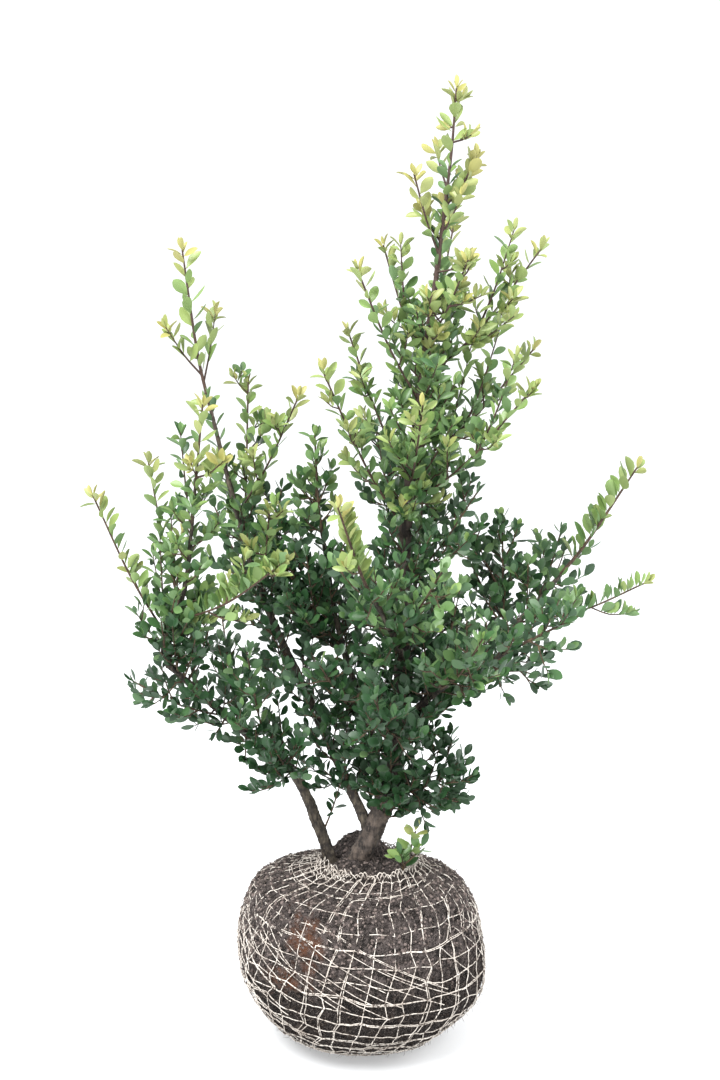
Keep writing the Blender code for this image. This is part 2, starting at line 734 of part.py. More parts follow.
def ball_outline(angle):
    """Radius and height on the ball's side, from -90 degrees at its keel to 90 at its crown."""
    power = BALL_CROWN_POWER if angle > 0 else BALL_KEEL_POWER
    rise = BALL_CROWN if angle > 0 else BALL_KEEL
    radius = BALL_RADIUS * math.cos(angle) ** (2 / power)
    height = BALL_WAIST + math.copysign(rise * abs(math.sin(angle)) ** (2 / power), angle)
    return radius, height


def outline_angle(height):
    """The angle at which the ball's outline passes a height."""
    rise = height - BALL_WAIST
    power = BALL_CROWN_POWER if rise > 0 else BALL_KEEL_POWER
    most = BALL_CROWN if rise > 0 else BALL_KEEL
    return math.copysign(math.asin((abs(rise) / most) ** (power / 2)), rise)


def turned(name, profile, collection, finish):
    """A profile at +X, listed from the top down, turned round the Z axis."""
    mesh = bpy.data.meshes.new(name)
    points = [(radius, 0, height) for radius, height in profile]
    mesh.from_pydata(points, [(k, k + 1) for k in range(len(points) - 1)], [])
    made = add_object(name, mesh, collection, finish)
    screw = made.modifiers.new("turn", "SCREW")
    screw.steps = BALL_SIDES
    screw.render_steps = BALL_SIDES
    screw.use_merge_vertices = True
    screw.merge_threshold = 0.1 * MM
    return made


def ball_side():
    """The ball's outline from the edge of its flat top down to the foot of the net."""
    high, low = outline_angle(BALL_TOP), outline_angle(NET_FOOT)
    return [ball_outline(high + (low - high) * row / NET_ROWS) for row in range(NET_ROWS + 1)]


def build_ball(collection):
    underside = ball_outline(outline_angle(0.0))
    profile = [(0.0, BALL_TOP), *ball_side(), underside, (0.0, 0.0)]
    turned("root_ball", profile, collection, material("soil", SOIL, 0.95))


def build_net(collection):
    lift = SEAT_GAP + TWINE
    profile = [(NECK_RADIUS, BALL_TOP + lift)]
    for radius, height in ball_side():
        outward = Vector((radius, height - BALL_WAIST)).normalized() * lift
        profile.append((radius + outward.x, height + outward.y))
    net = turned("root_ball_net", profile, collection, material("twine", TWINE_COLOUR, 0.9))
    wires = net.modifiers.new("twine", "WIREFRAME")
    wires.thickness = TWINE
    wires.use_boundary = True
    wires.use_replace = True


def main():
    clear_scene()
    collection = new_collection("japanese_holly_shrub")
    build_ball(collection)
    build_net(collection)
    woods = grow_limbs()
    build_limbs(woods, collection)
    build_sprays(woods, collection)


main()
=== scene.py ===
"""The looks of a young Japanese holly shrub on its netted root ball.

The limbs, the sprays and the rule that they grow by are those of the solids, carried on here to
finer twigs and to leaves of the real size. Metres, +Z up, and the shrub's front is -Y.
"""

import json
import math
import random
from collections import namedtuple
from itertools import pairwise

import bmesh
import bpy
import numpy as np
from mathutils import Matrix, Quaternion, Vector, noise

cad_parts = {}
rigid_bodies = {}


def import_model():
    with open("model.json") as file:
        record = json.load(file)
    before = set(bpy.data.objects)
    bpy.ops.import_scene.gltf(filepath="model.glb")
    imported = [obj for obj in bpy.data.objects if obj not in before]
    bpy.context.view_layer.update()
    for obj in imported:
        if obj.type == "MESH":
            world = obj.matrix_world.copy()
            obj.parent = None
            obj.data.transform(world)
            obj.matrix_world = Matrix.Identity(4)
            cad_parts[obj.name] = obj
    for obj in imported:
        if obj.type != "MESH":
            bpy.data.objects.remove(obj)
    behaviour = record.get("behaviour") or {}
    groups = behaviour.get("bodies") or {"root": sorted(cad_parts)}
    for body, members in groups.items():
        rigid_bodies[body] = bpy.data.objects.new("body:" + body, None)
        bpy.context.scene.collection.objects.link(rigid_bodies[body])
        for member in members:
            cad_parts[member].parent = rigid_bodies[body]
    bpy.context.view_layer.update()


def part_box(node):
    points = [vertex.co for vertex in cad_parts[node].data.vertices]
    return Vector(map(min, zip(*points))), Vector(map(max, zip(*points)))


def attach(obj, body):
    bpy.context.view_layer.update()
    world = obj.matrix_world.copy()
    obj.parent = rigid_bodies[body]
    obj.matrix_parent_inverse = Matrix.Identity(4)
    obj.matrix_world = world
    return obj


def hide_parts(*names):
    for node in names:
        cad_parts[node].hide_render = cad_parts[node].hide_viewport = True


MM = 0.001
CM = 0.01
UP = Vector((0, 0, 1))
GOLDEN_TURN = math.radians(137.5)

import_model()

# The root ball's side in centimetres, from the middle of its top to the rim of its flat foot, as
# (radius, height), and how far its middle lies to the side, as (height, shift). Then the height
# of its waist, how wide it is there, and the height of its top.
BALL_SIDE = (
    (0, 15.3), (4, 15.3), (6.6, 15.2), (8.2, 14.9), (9.2, 14.2), (9.8, 13.2), (10.4, 11.5),
    (10.75, 9.75), (10.95, 8.0), (10.85, 6.2), (10.2, 4.4), (8.9, 2.6), (7.0, 1.1), (4.8, 0),
)
BALL_SHIFT = ((0, 0.3), (5, 0.42), (8, 0.12), (11.5, -0.1), (13.3, -0.25), (15.3, -0.6))
BALL_WAIST = 8.1 * CM
BALL_RADIUS = 11 * CM
BALL_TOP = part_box("root_ball")[1].z

# Above its waist the ball lies lower towards its back, by this share of the way back. Its relief
# fades out over this height above its flat foot, which is closed by rings of these shares.
BACK_DROP = 0.13
FOOT_FADE = 20 * MM
FOOT_RINGS = (0.97, 0.8, 0.4)

# The soil's relief: broad lumps, hollows, clods and crumbs, as (size of one, depth). Then above
# which noise a hollow begins, how much of it stays high on the ball, the middle value of the
# cells that shape clods and crumbs, and the fineness of the mesh.
SOIL_LUMPS = (42 * MM, 2.4 * MM)
SOIL_HOLLOWS = (20 * MM, 4.0 * MM)
SOIL_CLODS = (8 * MM, 1.9 * MM)
SOIL_CRUMBS = (3.6 * MM, 2.4 * MM)
HOLLOW_NOISE = 0.1
UPPER_HOLLOWS = 0.2
CELL_MIDDLE = 0.35
SOIL_STEP = 1.5 * MM
SOIL_COLUMNS = 400

# Where soil lies heaped inside the neck, in centimetres: (x, y), radius and height.
MOUNDS = (((0.4, 1.4), 4.6, 0.8), ((-0.3, -1.3), 2.5, 0.7), ((-0.2, 3.3), 2.9, 1.9))

# Fine roots and loose crumbs on the soil: how many there are on a square metre, how large one is,
# how far a root bends, and how rough and how flat a crumb is. Then for both how far above the
# floor they begin, how far they tilt and how their sizes vary.
FIBRE_DENSITY = 44000.0
FIBRE_LENGTH = 5.5 * MM
FIBRE_RADIUS = 0.15 * MM
FIBRE_BEND = 0.25
FIBRE_SIDES = 3
CRUMB_DENSITY = 28000.0
CRUMB_RADIUS = 1.5 * MM
CRUMB_ROUGHNESS = 0.9
CRUMB_FLATNESS = 0.75
STREWN_ABOVE = 8 * MM
STREWN_TILT = 1.3
STREWN_SIZES = (0.4, 1.3)
STREWN_SEED = 5

# The soil is darker up to this height and turns paler over this span above it.
LOW_SOIL_HEIGHT = 66 * MM
LOW_SOIL_FADE = 34 * MM

# Colours of the soil, lower and upper, of the painted shade in its hollows and between its crumbs,
# of the hairs and roots in it, of the twine and the painted shade in its grooves, and of the
# floor.
LOWER_SOIL = (0.030, 0.022, 0.019)
UPPER_SOIL = (0.137, 0.111, 0.104)
HOLLOW_SHADE = (0.008, 0.006, 0.005)
CRUMB_GAP_SHADE = (0.012, 0.010, 0.009)
SOIL_HAIRS = (0.225, 0.190, 0.172)
RUSTY_CLAY = (0.138, 0.056, 0.028)
LOWER_CRUMB = (0.022, 0.016, 0.013)
UPPER_CRUMB = (0.150, 0.120, 0.109)
DARK_ROOT = (0.035, 0.025, 0.02)
PALE_ROOT = (0.2, 0.16, 0.13)
CLEAN_TWINE = (0.66, 0.61, 0.55)
SOILED_TWINE = (0.34, 0.285, 0.24)
GROOVE_SHADE = (0.110, 0.086, 0.070)
WHITE_FLOOR = (0.62, 0.63, 0.64)
FLOOR_GLOW = 0.34

# Where the rusty clay lies, as the middle of each patch and how far it reaches each way.
RUST_PATCHES = (
    ((-0.045, -0.092, 0.125), (0.022, 0.050, 0.034)),
    ((-0.064, -0.088, 0.089), (0.034, 0.050, 0.016)),
)

# The net: thin twine, drawn together round the neck in a collar of small cells with a thicker
# rim, and wider below it, where its columns twist round, its rows tilt and its knots stray. Some
# rows and columns have a second, thinner strand, which lies this many millimetres off.
TWINE_RADIUS = 0.42 * MM
TWINE_SIDES = 5
NECK_RADIUS = 4.4 * CM
NECK_CENTRE = Vector((1.3, 1.0, 0)) * CM
NECK_FADE = 3.8 * CM
NET_COLUMNS = 40
COLLAR_GAPS = (7 * MM, 8 * MM, 8 * MM)
COLLAR_RISE = 4.5 * MM
COLLAR_DEPTH = 20 * MM
COLLAR_LOOP = 4 * MM
RIM_THICKER = 1.35
LOOPS_VARY = 0.45
LOOP_WAVES = 17
NET_GAP_TOP = 17 * MM
NET_GAP_FOOT = 11.5 * MM
NET_FOOT = 0.7 * CM
NET_TWIST = math.radians(-34)
NET_TILT = 12 * MM
NET_TILT_TURN = math.radians(-20)
NET_STRAY = 3.2 * MM
NET_DOUBLES = 0.4
NET_END = 1 * MM
COLLAR_STRAY = 0.4
SECOND_TWINE = 0.9
SECOND_GAPS = (1.2, 2.6)

# Loose strands that run side by side across the meshes: how many there are in a group, the sides
# in degrees from the first one's start to the last one's, how far down they start as shares of
# the ball's side, and how far down in centimetres and round the ball in degrees each runs. Then
# how far their starts stray, in degrees and millimetres, and how much their lengths vary.
NET_SLANTS = (
    (8, (-170, -100), (0.38, 0.38), 6.5, 60),
    (6, (-166, -150), (0.44, 0.70), 4.6, 48),
    (4, (-112, -76), (0.52, 0.52), 4.0, 40),
    (8, (-190, -135), (0.30, 0.42), 5.0, -22),
    (7, (-150, -200), (0.32, 0.50), 4.5, 26),
    (7, (5, -45), (0.32, 0.48), 5.0, 24),
    (6, (-25, 20), (0.30, 0.45), 4.5, -20),
    (12, (150, 30), (0.35, 0.60), 5.5, 30),
)
SLANT_TURN = 4
SLANT_STRAY = 6
SLANT_RUNS = (0.7, 1.05)

# Slack twine that lies in small loops beside the neck: the sides in degrees that each length of it
# reaches, and how far below the rim in millimetres. Then how wide one loop is, how high it is,
# again in millimetres, and how far knots stray down and round the ball.
GATHERS = (
    ((-170, -112), -3), ((-174, -108), 1), ((-165, -110), 5), ((-160, -116), 9), ((-38, 5), -2),
    ((-34, 0), 4), ((40, 100), 2), ((120, 170), 3),
)
GATHER_LOOP = 5.5 * MM
GATHER_RISES = (1.5, 6)
GATHER_STRAY = 1.6 * MM
GATHER_TURN = 0.03

# Twine in the upper half dips in and out of the crumbly soil. From this share of the way down it
# comes off it, until it bridges the hollows clear of the soil.
BURIED = 0.85 * MM
BURIED_WAVE = (6 * MM, 1.2 * MM)
NET_LOOSE = 0.4
NET_LOOSENING = 0.25
NET_CLEAR = 1.0 * MM
TIE_RADIUS = 0.7 * MM
STRAND_STEPS = 6
SLANT_STEPS = 26

# Bark: the relief's depth as a share of the limb's radius, the fineness of its mesh, how wide its
# ridges and how long its furrows are, and how strong furrows, lumps and grain are.
BARK_DEPTH = 0.18
BARK_STEP = 1.4 * MM
BARK_SIDES = 28
BARK_RIDGE = 2.4 * MM
BARK_FURROW = 8 * MM
FURROW_PART = 0.6
LUMP_PART = 1.6
GRAIN_PART = 1.1

# Knots in the bark: how far apart they are, and how high and wide as shares of the radius.
KNOT_SPACING = 13 * MM
KNOT_RISE = 0.24
KNOT_SPREAD = 0.55

# How much thicker a bough is where it leaves its carrier, and the trunk at the soil, and over how
# many times its radius that fades. Then how deep the trunk's bark goes on into the soil.
COLLAR_SWELL = 0.45
FOOT_FLARE = 0.1
SWELL_FADE = 2.2
TRUNK_DEPTH = 11 * MM

# From this height on, over this span, bark turns from grey-brown to the dark red-brown of young
# wood, and limbs get slimmer by this share.
YOUNG_WOOD = 45 * CM
YOUNG_WOOD_SPAN = 22 * CM
YOUNG_BARK = (0.060, 0.034, 0.028)
YOUNG_SLIMNESS = 0.18

# The barks: their dark and their light brown, and how wide a crack is.
BARKS = {
    "trunk_bark": ((0.014, 0.010, 0.008), (0.110, 0.084, 0.067), 1.8 * MM),
    "bough_bark": ((0.016, 0.012, 0.009), (0.108, 0.087, 0.062), 1.4 * MM),
    "young_twig": ((0.036, 0.018, 0.012), (0.115, 0.068, 0.038), 0.8 * MM),
    "old_twig": ((0.040, 0.024, 0.014), (0.130, 0.085, 0.045), 0.8 * MM),
}

# Stems: the radius of the shortest and what a metre of length adds to it, how far they sag, how
# far short of the spray's tip they stop, and the share of them that has no leaves.
STEM_THICK = 0.6 * MM
STEM_GAIN = 3.6 * MM
STEM_SAG = 0.06
STEM_SHORT = 7.5 * MM
STEM_BARE = 0.14

# Twigs: their radius at foot and tip, how much thicker a long shoot's foot is, how they lean from
# the stem and then bend up, where along the stem the first one leaves and over what share of it
# the others do, how much shorter the last one is, and the share of each that has no leaves. Then
# how often a twig is turned on, and how far, to find room, and where along it room is asked for.
# Last how many sides it has, and from which youth of its spray on it is reddish.
TWIG_THICK = 0.75 * MM
TWIG_THIN = 0.45 * MM
SHOOT_THICKER = 1.4
TWIG_LEAN = math.radians(48)
TWIG_LIFT = 0.2
TWIG_FIRST = 0.3
TWIG_SPAN = 0.5
TWIG_LOSS = 0.3
TWIG_BARE = 0.25
TWIG_TRIES = 6
TWIG_TRY_TURN = math.radians(60)
TWIG_SAMPLES = (0.4, 0.7, 1)
TWIG_SIDES = 6
YOUNG_SPRAY = 0.65

# How long a line's straight stretches are. A direction whose sideways part is smaller than this
# counts as upright.
PATH_STEP = 6 * MM
SIDELESS = 0.05

# What grows keeps at least this far off the soil and off the limbs' bark.
OFF_SOIL = 2 * MM
OFF_BARK = 1 * MM

# Finer twigs than the solids have, as (on old wood, on new wood): how far apart they leave their
# stem or twig, and how long they are. Then how far up the first one leaves, and how much shorter
# the last one is.
SIDE_SPACING = (12.5 * MM, 70 * MM)
SIDE_REACH = (44 * MM, 22 * MM)
FINE_SPACING = (14 * MM, 70 * MM)
FINE_REACH = (29 * MM, 12 * MM)
FINE_FOOT = 9 * MM
FINE_LOSS = 0.4

# How much sizes and distances vary round their usual value.
TWIG_REACHES = (0.85, 1.1)
FINE_REACHES = (0.65, 1.15)
FINE_SPACINGS = (0.75, 1.25)
INNER_REACHES = (0.6, 1.1)
INNER_SPACINGS = (0.7, 1.3)
TUFT_SIZES = (0.8, 1.15)
LEAF_SIZES = (0.8, 1.1)
LEAF_PITCHES = (0.8, 1.2)

# Leafy twigs straight on each limb, in centimetres: from and up to which height, how far apart
# and how long, and how much younger they are than others at their height. They are kept near the
# sprays' stems and are older lower down: then how near, the heights where they are oldest and
# newest, how young they are there, how much shorter the newest are, and how young long shoots at
# the very top are.
InnerTwigs = namedtuple("InnerTwigs", "low high spacing reach fresher")
INNER_TWIGS = {
    "trunk": InnerTwigs(19.5, 65, 0.82, 5.6, 0),
    "left_stem": InnerTwigs(23.5, 40, 1.3, 3.6, 0),
    "left_riser": InnerTwigs(30, 48.5, 0.95, 4.2, 0.2),
    "left_leader": InnerTwigs(21, 46, 1.1, 4.6, 0.05),
    "middle_stem": InnerTwigs(21, 50, 1.4, 4.8, 0),
    "right_arm": InnerTwigs(26, 39, 0.95, 5.2, 0.15),
    "right_low_arm": InnerTwigs(28, 50, 0.9, 5.0, 0.1),
    "front_bough": InnerTwigs(34, 50, 0.9, 5.0, 0.1),
    "back_bough": InnerTwigs(29, 50, 0.9, 6.0, 0),
}
INNER_NEAR = 42 * MM
INNER_OLD_HEIGHT = 32 * CM
INNER_NEW_HEIGHT = 68 * CM
INNER_OLDEST = 0.08
INNER_NEWEST = 0.55
INNER_LOSS = 0.3
TOP_SHOOT_YOUTH = 0.95

# A limb has leaves of its own where its radius is less than this.
LEAFY_RADIUS = 2.5 * MM

# Sprays of single slender shoots, and long side shoots that the solids leave out, in centimetres:
# the share of the stem where each leaves it, and its tip.
SLENDER = (
    "leader_top", "top_right", "top_left", "far_left", "left_upright", "front_top", "right_side",
    "right_arm_top", "foot_sprout", "upper_left", "upper_left_front", "left_leader_top",
)
FINER_SHOOTS = {
    "upper_right": ((0.42, (12.7, -1.6, 71.6)), (0.3, (13.0, -3.2, 64.4))),
    "upper_front": ((0.5, (10.4, -4.0, 66.0)),),
    "leader_back": ((0.4, (8.4, 5.4, 63.0)),),
    "middle_right": ((0.4, (12.2, 2.4, 64.0)), (0.25, (9.8, 5.0, 62.0))),
    "lower_right": ((0.55, (12.9, -3.0, 61.4)),),
    "right_shelf": ((0.15, (9.4, 4.6, 42.4)), (0.35, (9.6, 5.4, 45.4)), (0.1, (10.2, 2.0, 40.4))),
    "upper_left": ((0.4, (3.3, 1.0, 70.4)),),
    "right_arm": ((0.3, (8.8, 0.4, 41.6)), (0.35, (8.4, 2.6, 40.6)), (0.42, (9.8, 1.2, 40.0))),
    "low_right": ((0.3, (7.4, -3.2, 21.6)), (0.6, (9.0, -1.4, 22.8))),
    "foot_sprout": (
        (0.2, (3.4, -3.2, 18.3)), (0.3, (5.8, -2.4, 18.7)), (0.15, (2.9, -2.0, 18.0)),
    ),
    "trunk": (
        (0.86, (9.1, -3.0, 68.6)), (0.91, (8.6, -1.0, 74.4)), (0.93, (9.4, 2.0, 76.0)),
        (0.9, (4.5, 1.0, 73.2)), (0.97, (6.0, 1.5, 78.0)), (0.88, (7.2, 2.0, 74.0)),
        (0.2, (0.4, -5.0, 27.6)), (0.12, (1.2, -3.2, 24.0)), (0.12, (4.8, -3.2, 21.4)),
        (0.1, (5.8, 0.6, 20.8)), (0.12, (-0.6, 1.8, 24.4)), (0.14, (3.6, -4.6, 23.4)),
        (0.2, (-2.4, -2.6, 26.2)), (0.08, (0.8, 2.8, 21.6)), (0.08, (5.2, 1.6, 20.6)),
        (0.1, (0.2, 0.4, 22.0)), (0.1, (6.0, -1.6, 22.4)), (0.13, (1.6, -3.6, 21.8)),
        (0.15, (-0.8, -2.0, 23.2)), (0.14, (8.2, 0.4, 27.0)), (0.62, (2.2, -3.2, 57.0)),
        (0.62, (6.8, -2.8, 58.2)), (0.68, (6.4, -4.8, 60.8)), (0.58, (6.4, 2.8, 56.8)),
        (0.66, (6.8, 2.8, 61.2)), (0.62, (8.2, -1.4, 59.0)), (0.6, (7.8, 1.8, 57.0)),
        (0.56, (8.0, -2.6, 55.8)), (0.22, (7.4, -3.2, 32.0)), (0.24, (6.6, -4.6, 30.8)),
        (0.66, (6.6, -3.0, 59.4)), (0.58, (3.0, -3.8, 53.0)), (0.64, (5.8, 3.6, 59.6)),
    ),
    "left_leader": (
        (0.12, (-1.5, -2.0, 28.2)), (0.2, (-0.8, -1.6, 26.0)), (0.18, (-3.4, -1.4, 28.6)),
        (0.1, (-2.6, 0.4, 22.8)), (0.1, (-3.9, 0.6, 24.8)), (0.08, (-0.2, 0.0, 23.6)),
        (0.12, (-2.0, 1.0, 25.2)), (0.16, (-4.6, 1.0, 27.2)), (0.2, (-1.8, -0.6, 30.2)),
        (0.3, (-6.6, 1.2, 31.6)), (0.27, (-5.9, 1.0, 29.8)),
    ),
    "left_riser": (
        (0.2, (-17.6, -1.2, 44.6)), (0.75, (-14.6, -4.8, 55.6)), (0.15, (-16.6, -3.4, 46.6)),
        (0.1, (-15.0, -6.6, 42.0)), (0.3, (-15.8, -2.0, 48.4)), (0.04, (-13.8, -6.4, 40.0)),
        (0.1, (-12.2, -3.0, 41.6)), (0.1, (-13.6, -0.4, 42.0)), (0.03, (-11.6, -1.6, 39.4)),
        (0.02, (-16.4, -6.0, 40.2)), (0.01, (-13.2, -5.4, 38.8)), (0.03, (-15.2, -0.2, 40.2)),
    ),
    "middle_left_low": (
        (0.3, (-6.8, -1.6, 40.0)), (0.2, (-5.2, -2.0, 38.8)), (0.4, (-7.4, 2.6, 40.6)),
        (0.5, (-4.6, -1.0, 44.4)), (0.6, (-7.6, 0.8, 44.8)), (0.55, (-6.0, 1.6, 45.8)),
    ),
    "middle_top": ((0.3, (-2.2, 2.6, 51.2)), (0.2, (-5.6, 3.0, 50.2))),
    "left_stem": (
        (0.45, (-8.2, 2.0, 24.6)), (0.5, (-6.4, -2.6, 24.0)), (0.6, (-9.8, -3.6, 26.0)),
        (0.7, (-12.8, -1.6, 27.6)), (0.75, (-14.9, 0.6, 27.8)), (0.8, (-12.0, 1.6, 29.8)),
        (0.12, (-1.2, 0.0, 24.8)), (0.92, (-13.4, -6.2, 38.4)), (0.9, (-12.4, -0.8, 38.6)),
        (0.95, (-15.4, -6.6, 39.6)), (0.42, (-7.2, 0.2, 31.4)), (0.96, (-13.2, -5.0, 36.6)),
        (0.92, (-15.4, 0.8, 36.8)), (0.97, (-14.4, -0.8, 37.6)),
    ),
    "leader_top": ((0.5, (6.6, 1.0, 79.0)), (0.3, (9.6, -1.0, 78.6)), (0.75, (8.6, 0.8, 82.0))),
}

# How much wider apart the finer twigs stand in the airier sprays.
AIRY = {
    "right_back": 4.6, "left_back": 1.2, "low_left": 3.8, "left_stem_back": 2.3,
    "left_inner": 1.9, "middle_left": 1.6, "lower_left": 1.3, "middle_left_low": 1.3,
    "right_shelf": 1.1, "riser_right": 1.2, "front_side": 1.2, "front_right": 1.1,
    "left_inner_tall": 1.4, "left_inner_dark": 1.2, "upper_back": 1.5, "middle_right": 1.9,
    "lower_right": 1.8, "leader_back_right": 1.9, "leader_right_low": 2.0,
    "right_bottom": 1.5, "right_low_tip": 1.4,
}

# Leaves: the length of a grown one, how far apart they leave, and how they lean from the shoot.
# Where there are two, they are for old wood and new.
LEAF_LENGTH = (12.6 * MM, 17.4 * MM)
LEAF_PITCH = (3.9 * MM, 5.0 * MM)
LEAF_LEAN = (math.radians(56), math.radians(40))

# How far leaves are raised, on most shoots and on those where they stand, how far they turn to the
# sides of the shoot, how far up they face, how their faces sway and how deep in the bark they
# sit. A leaf is left out if this share of the way along it lies in the soil or in a limb.
LEAF_LIFT = 0.45
STANDING_LIFT = 0.7
LEAF_RANKS = 0.55
LEAF_UPWARD = 0.5
LEAF_SWAY = math.radians(38)
LEAF_SEAT = 0.6
LEAF_SAMPLE = 0.6

# The tuft at a shoot's tip: how many of its leaves old wood has, from which youth on wood counts
# as new and has them all, and how the leaves lean, are spaced and sized from the innermost out.
OLD_TUFT = 3
NEW_WOOD = 0.5
TUFT_LEANS = tuple(math.radians(angle) for angle in (8, 24, 40, 54, 64, 72))
TUFT_SPACING = 1.5 * MM
TUFT_LENGTHS = tuple(length * MM for length in (9.5, 12, 13.5, 14.5, 15, 15))

# A leaf's tone: this share of its shoot's youth, and what it gains at the tip, how far from the
# tip that fades, from which youth on a shoot gains all of it, and how much tones spread. Then the
# shares of their spray's youth that its side twigs and its finest twigs have.
LEAF_GLOW = 0.58
TIP_GLOW = 0.41
TIP_FADE = 19 * MM
BRIGHT_SHOOT = 0.55
TONE_SPREAD = 0.08
TWIG_YOUTH = 0.85
FINE_YOUTH = 0.7

# Shoots whose leaves stand closer or wider apart, as a share of the usual distance, those with
# longer leaves, and slanting ones whose leaves all stand on the upper side. Then the sprout from
# the foot, whose few leaves are all broad.
CLOSE_LEAVES = {
    "front_top": 0.42, "right_arm_top": 0.8, "right_side": 0.7, "leader_top": 1.1,
    "riser_right": 0.62, "left_leader_top": 1.15,
}
LONG_LEAVES = {"right_arm_top": 1.3, "leader_top": 1.1, "top_right": 1.1, "left_leader_top": 1.1}
STANDING_LEAVES = (
    "front_top", "right_side", "right_arm_top", "far_left", "riser_right", "upper_left",
    "left_upright",
)
BROAD_SPRAYS = ("foot_sprout",)
BROAD_LENGTHS = (14 * MM,) * 4
BROAD_LEANS = tuple(math.radians(angle) for angle in (24, 62, 62, 62))

# The shades that leaves come in, from the oldest to those just opened: name, colour of the upper
# face, a slot, and how matt it is.
LeafShade = namedtuple("LeafShade", "name colour slot matt")
LEAF_SHADES = (
    LeafShade("oldest", (0.021, 0.060, 0.022), "old_leaf", 0.36),
    LeafShade("old", (0.041, 0.100, 0.033), "old_leaf", 0.36),
    LeafShade("grown", (0.095, 0.176, 0.058), "old_leaf", 0.38),
    LeafShade("green", (0.160, 0.250, 0.070), "mid_leaf", 0.40),
    LeafShade("fresh", (0.212, 0.278, 0.086), "mid_leaf", 0.42),
    LeafShade("light", (0.244, 0.276, 0.088), "young_leaf", 0.44),
    LeafShade("newest", (0.318, 0.306, 0.094), "young_leaf", 0.46),
)

# The leaf shapes: how far the blade's edges rise, how far its tip bends back, and how wide it is,
# as shares of its length, and where it is widest (1: half way along, more: nearer its tip).
LeafShape = namedtuple("LeafShape", "edge_rise bend width rounding")
LEAF_SHAPES = (
    LeafShape(0.09, 0.02, 0.50, 1.12),
    LeafShape(0.04, 0.09, 0.54, 1.20),
    LeafShape(-0.05, 0.07, 0.46, 1.08),
    LeafShape(0.12, -0.05, 0.43, 1.18),
    LeafShape(0.06, 0.10, 0.41, 1.05),
    LeafShape(0.07, 0.16, 0.32, 1.10),
    LeafShape(0.13, -0.05, 0.36, 1.15),
)

# Which of them old, grown and young leaves have. Then where along a leaf its points lie, the share
# that is stalk, how thick its rib is and how full its outline.
OLD_SHAPES = (0, 1, 2)
GROWN_SHAPES = (0, 2, 3, 4)
YOUNG_SHAPES = (5, 6)
LEAF_STATIONS = (0.11, 0.28, 0.50, 0.73, 0.91)
LEAF_STALK = 0.08
LEAF_RIB = 0.022
LEAF_FULLNESS = 0.74

# Limbs in centimetres: name, carrier, height where it leaves it (None: at its tip), the points
# that it grows through up to its tip, and its radius in millimetres at foot and tip.
Limb = namedtuple("Limb", "name carrier height through thick thin")
LIMBS = (
    Limb("trunk", "root_ball", None,
         ((-0.5, -0.5, 15.3), (2.4, 0, 22.5), (3.6, 0, 31.5), (3.7, 0.5, 43.5), (4.8, 0.6, 55),
          (6.5, 0, 69), (7.3, 0, 76)), 8.8, 1.4),
    Limb("left_stem", "root_ball", None,
         ((-2.4, 0.6, 15.3), (-5.6, 0.5, 23.6), (-10.3, 0, 28.1), (-16.2, -3, 34.8)), 5.2, 2.4),
    Limb("left_riser", "left_stem", None,
         ((-16.5, -3.1, 36.8), (-14.6, -3.8, 41.5), (-13.4, -5, 50.5)), 2.3, 1.3),
    Limb("left_leader", "trunk", 18.6,
         ((-4.1, 3, 29), (-9.2, 4.5, 40.8), (-13.2, 5, 56.5)), 4.4, 1.6),
    Limb("middle_stem", "trunk", 20.6,
         ((1.0, 4.0, 26.5), (-1.7, 4.4, 35), (-3.3, 3, 45)), 3.6, 1.5),
    Limb("right_arm", "trunk", 26.6,
         ((7.8, 2, 33), (12.5, 3, 35.5), (17.6, 4, 41)), 3.6, 1.7),
    Limb("right_low_arm", "trunk", 28.6,
         ((7.2, -3.2, 33), (12.2, -5.4, 36.6)), 2.9, 1.6),
    Limb("front_bough", "trunk", 34.5,
         ((2.6, -5, 38.2), (0.8, -9.6, 42.6)), 2.7, 1.6),
    Limb("back_bough", "trunk", 30.2,
         ((4.4, 5.2, 34.6), (5.2, 9, 40.5)), 3.0, 1.6),
)

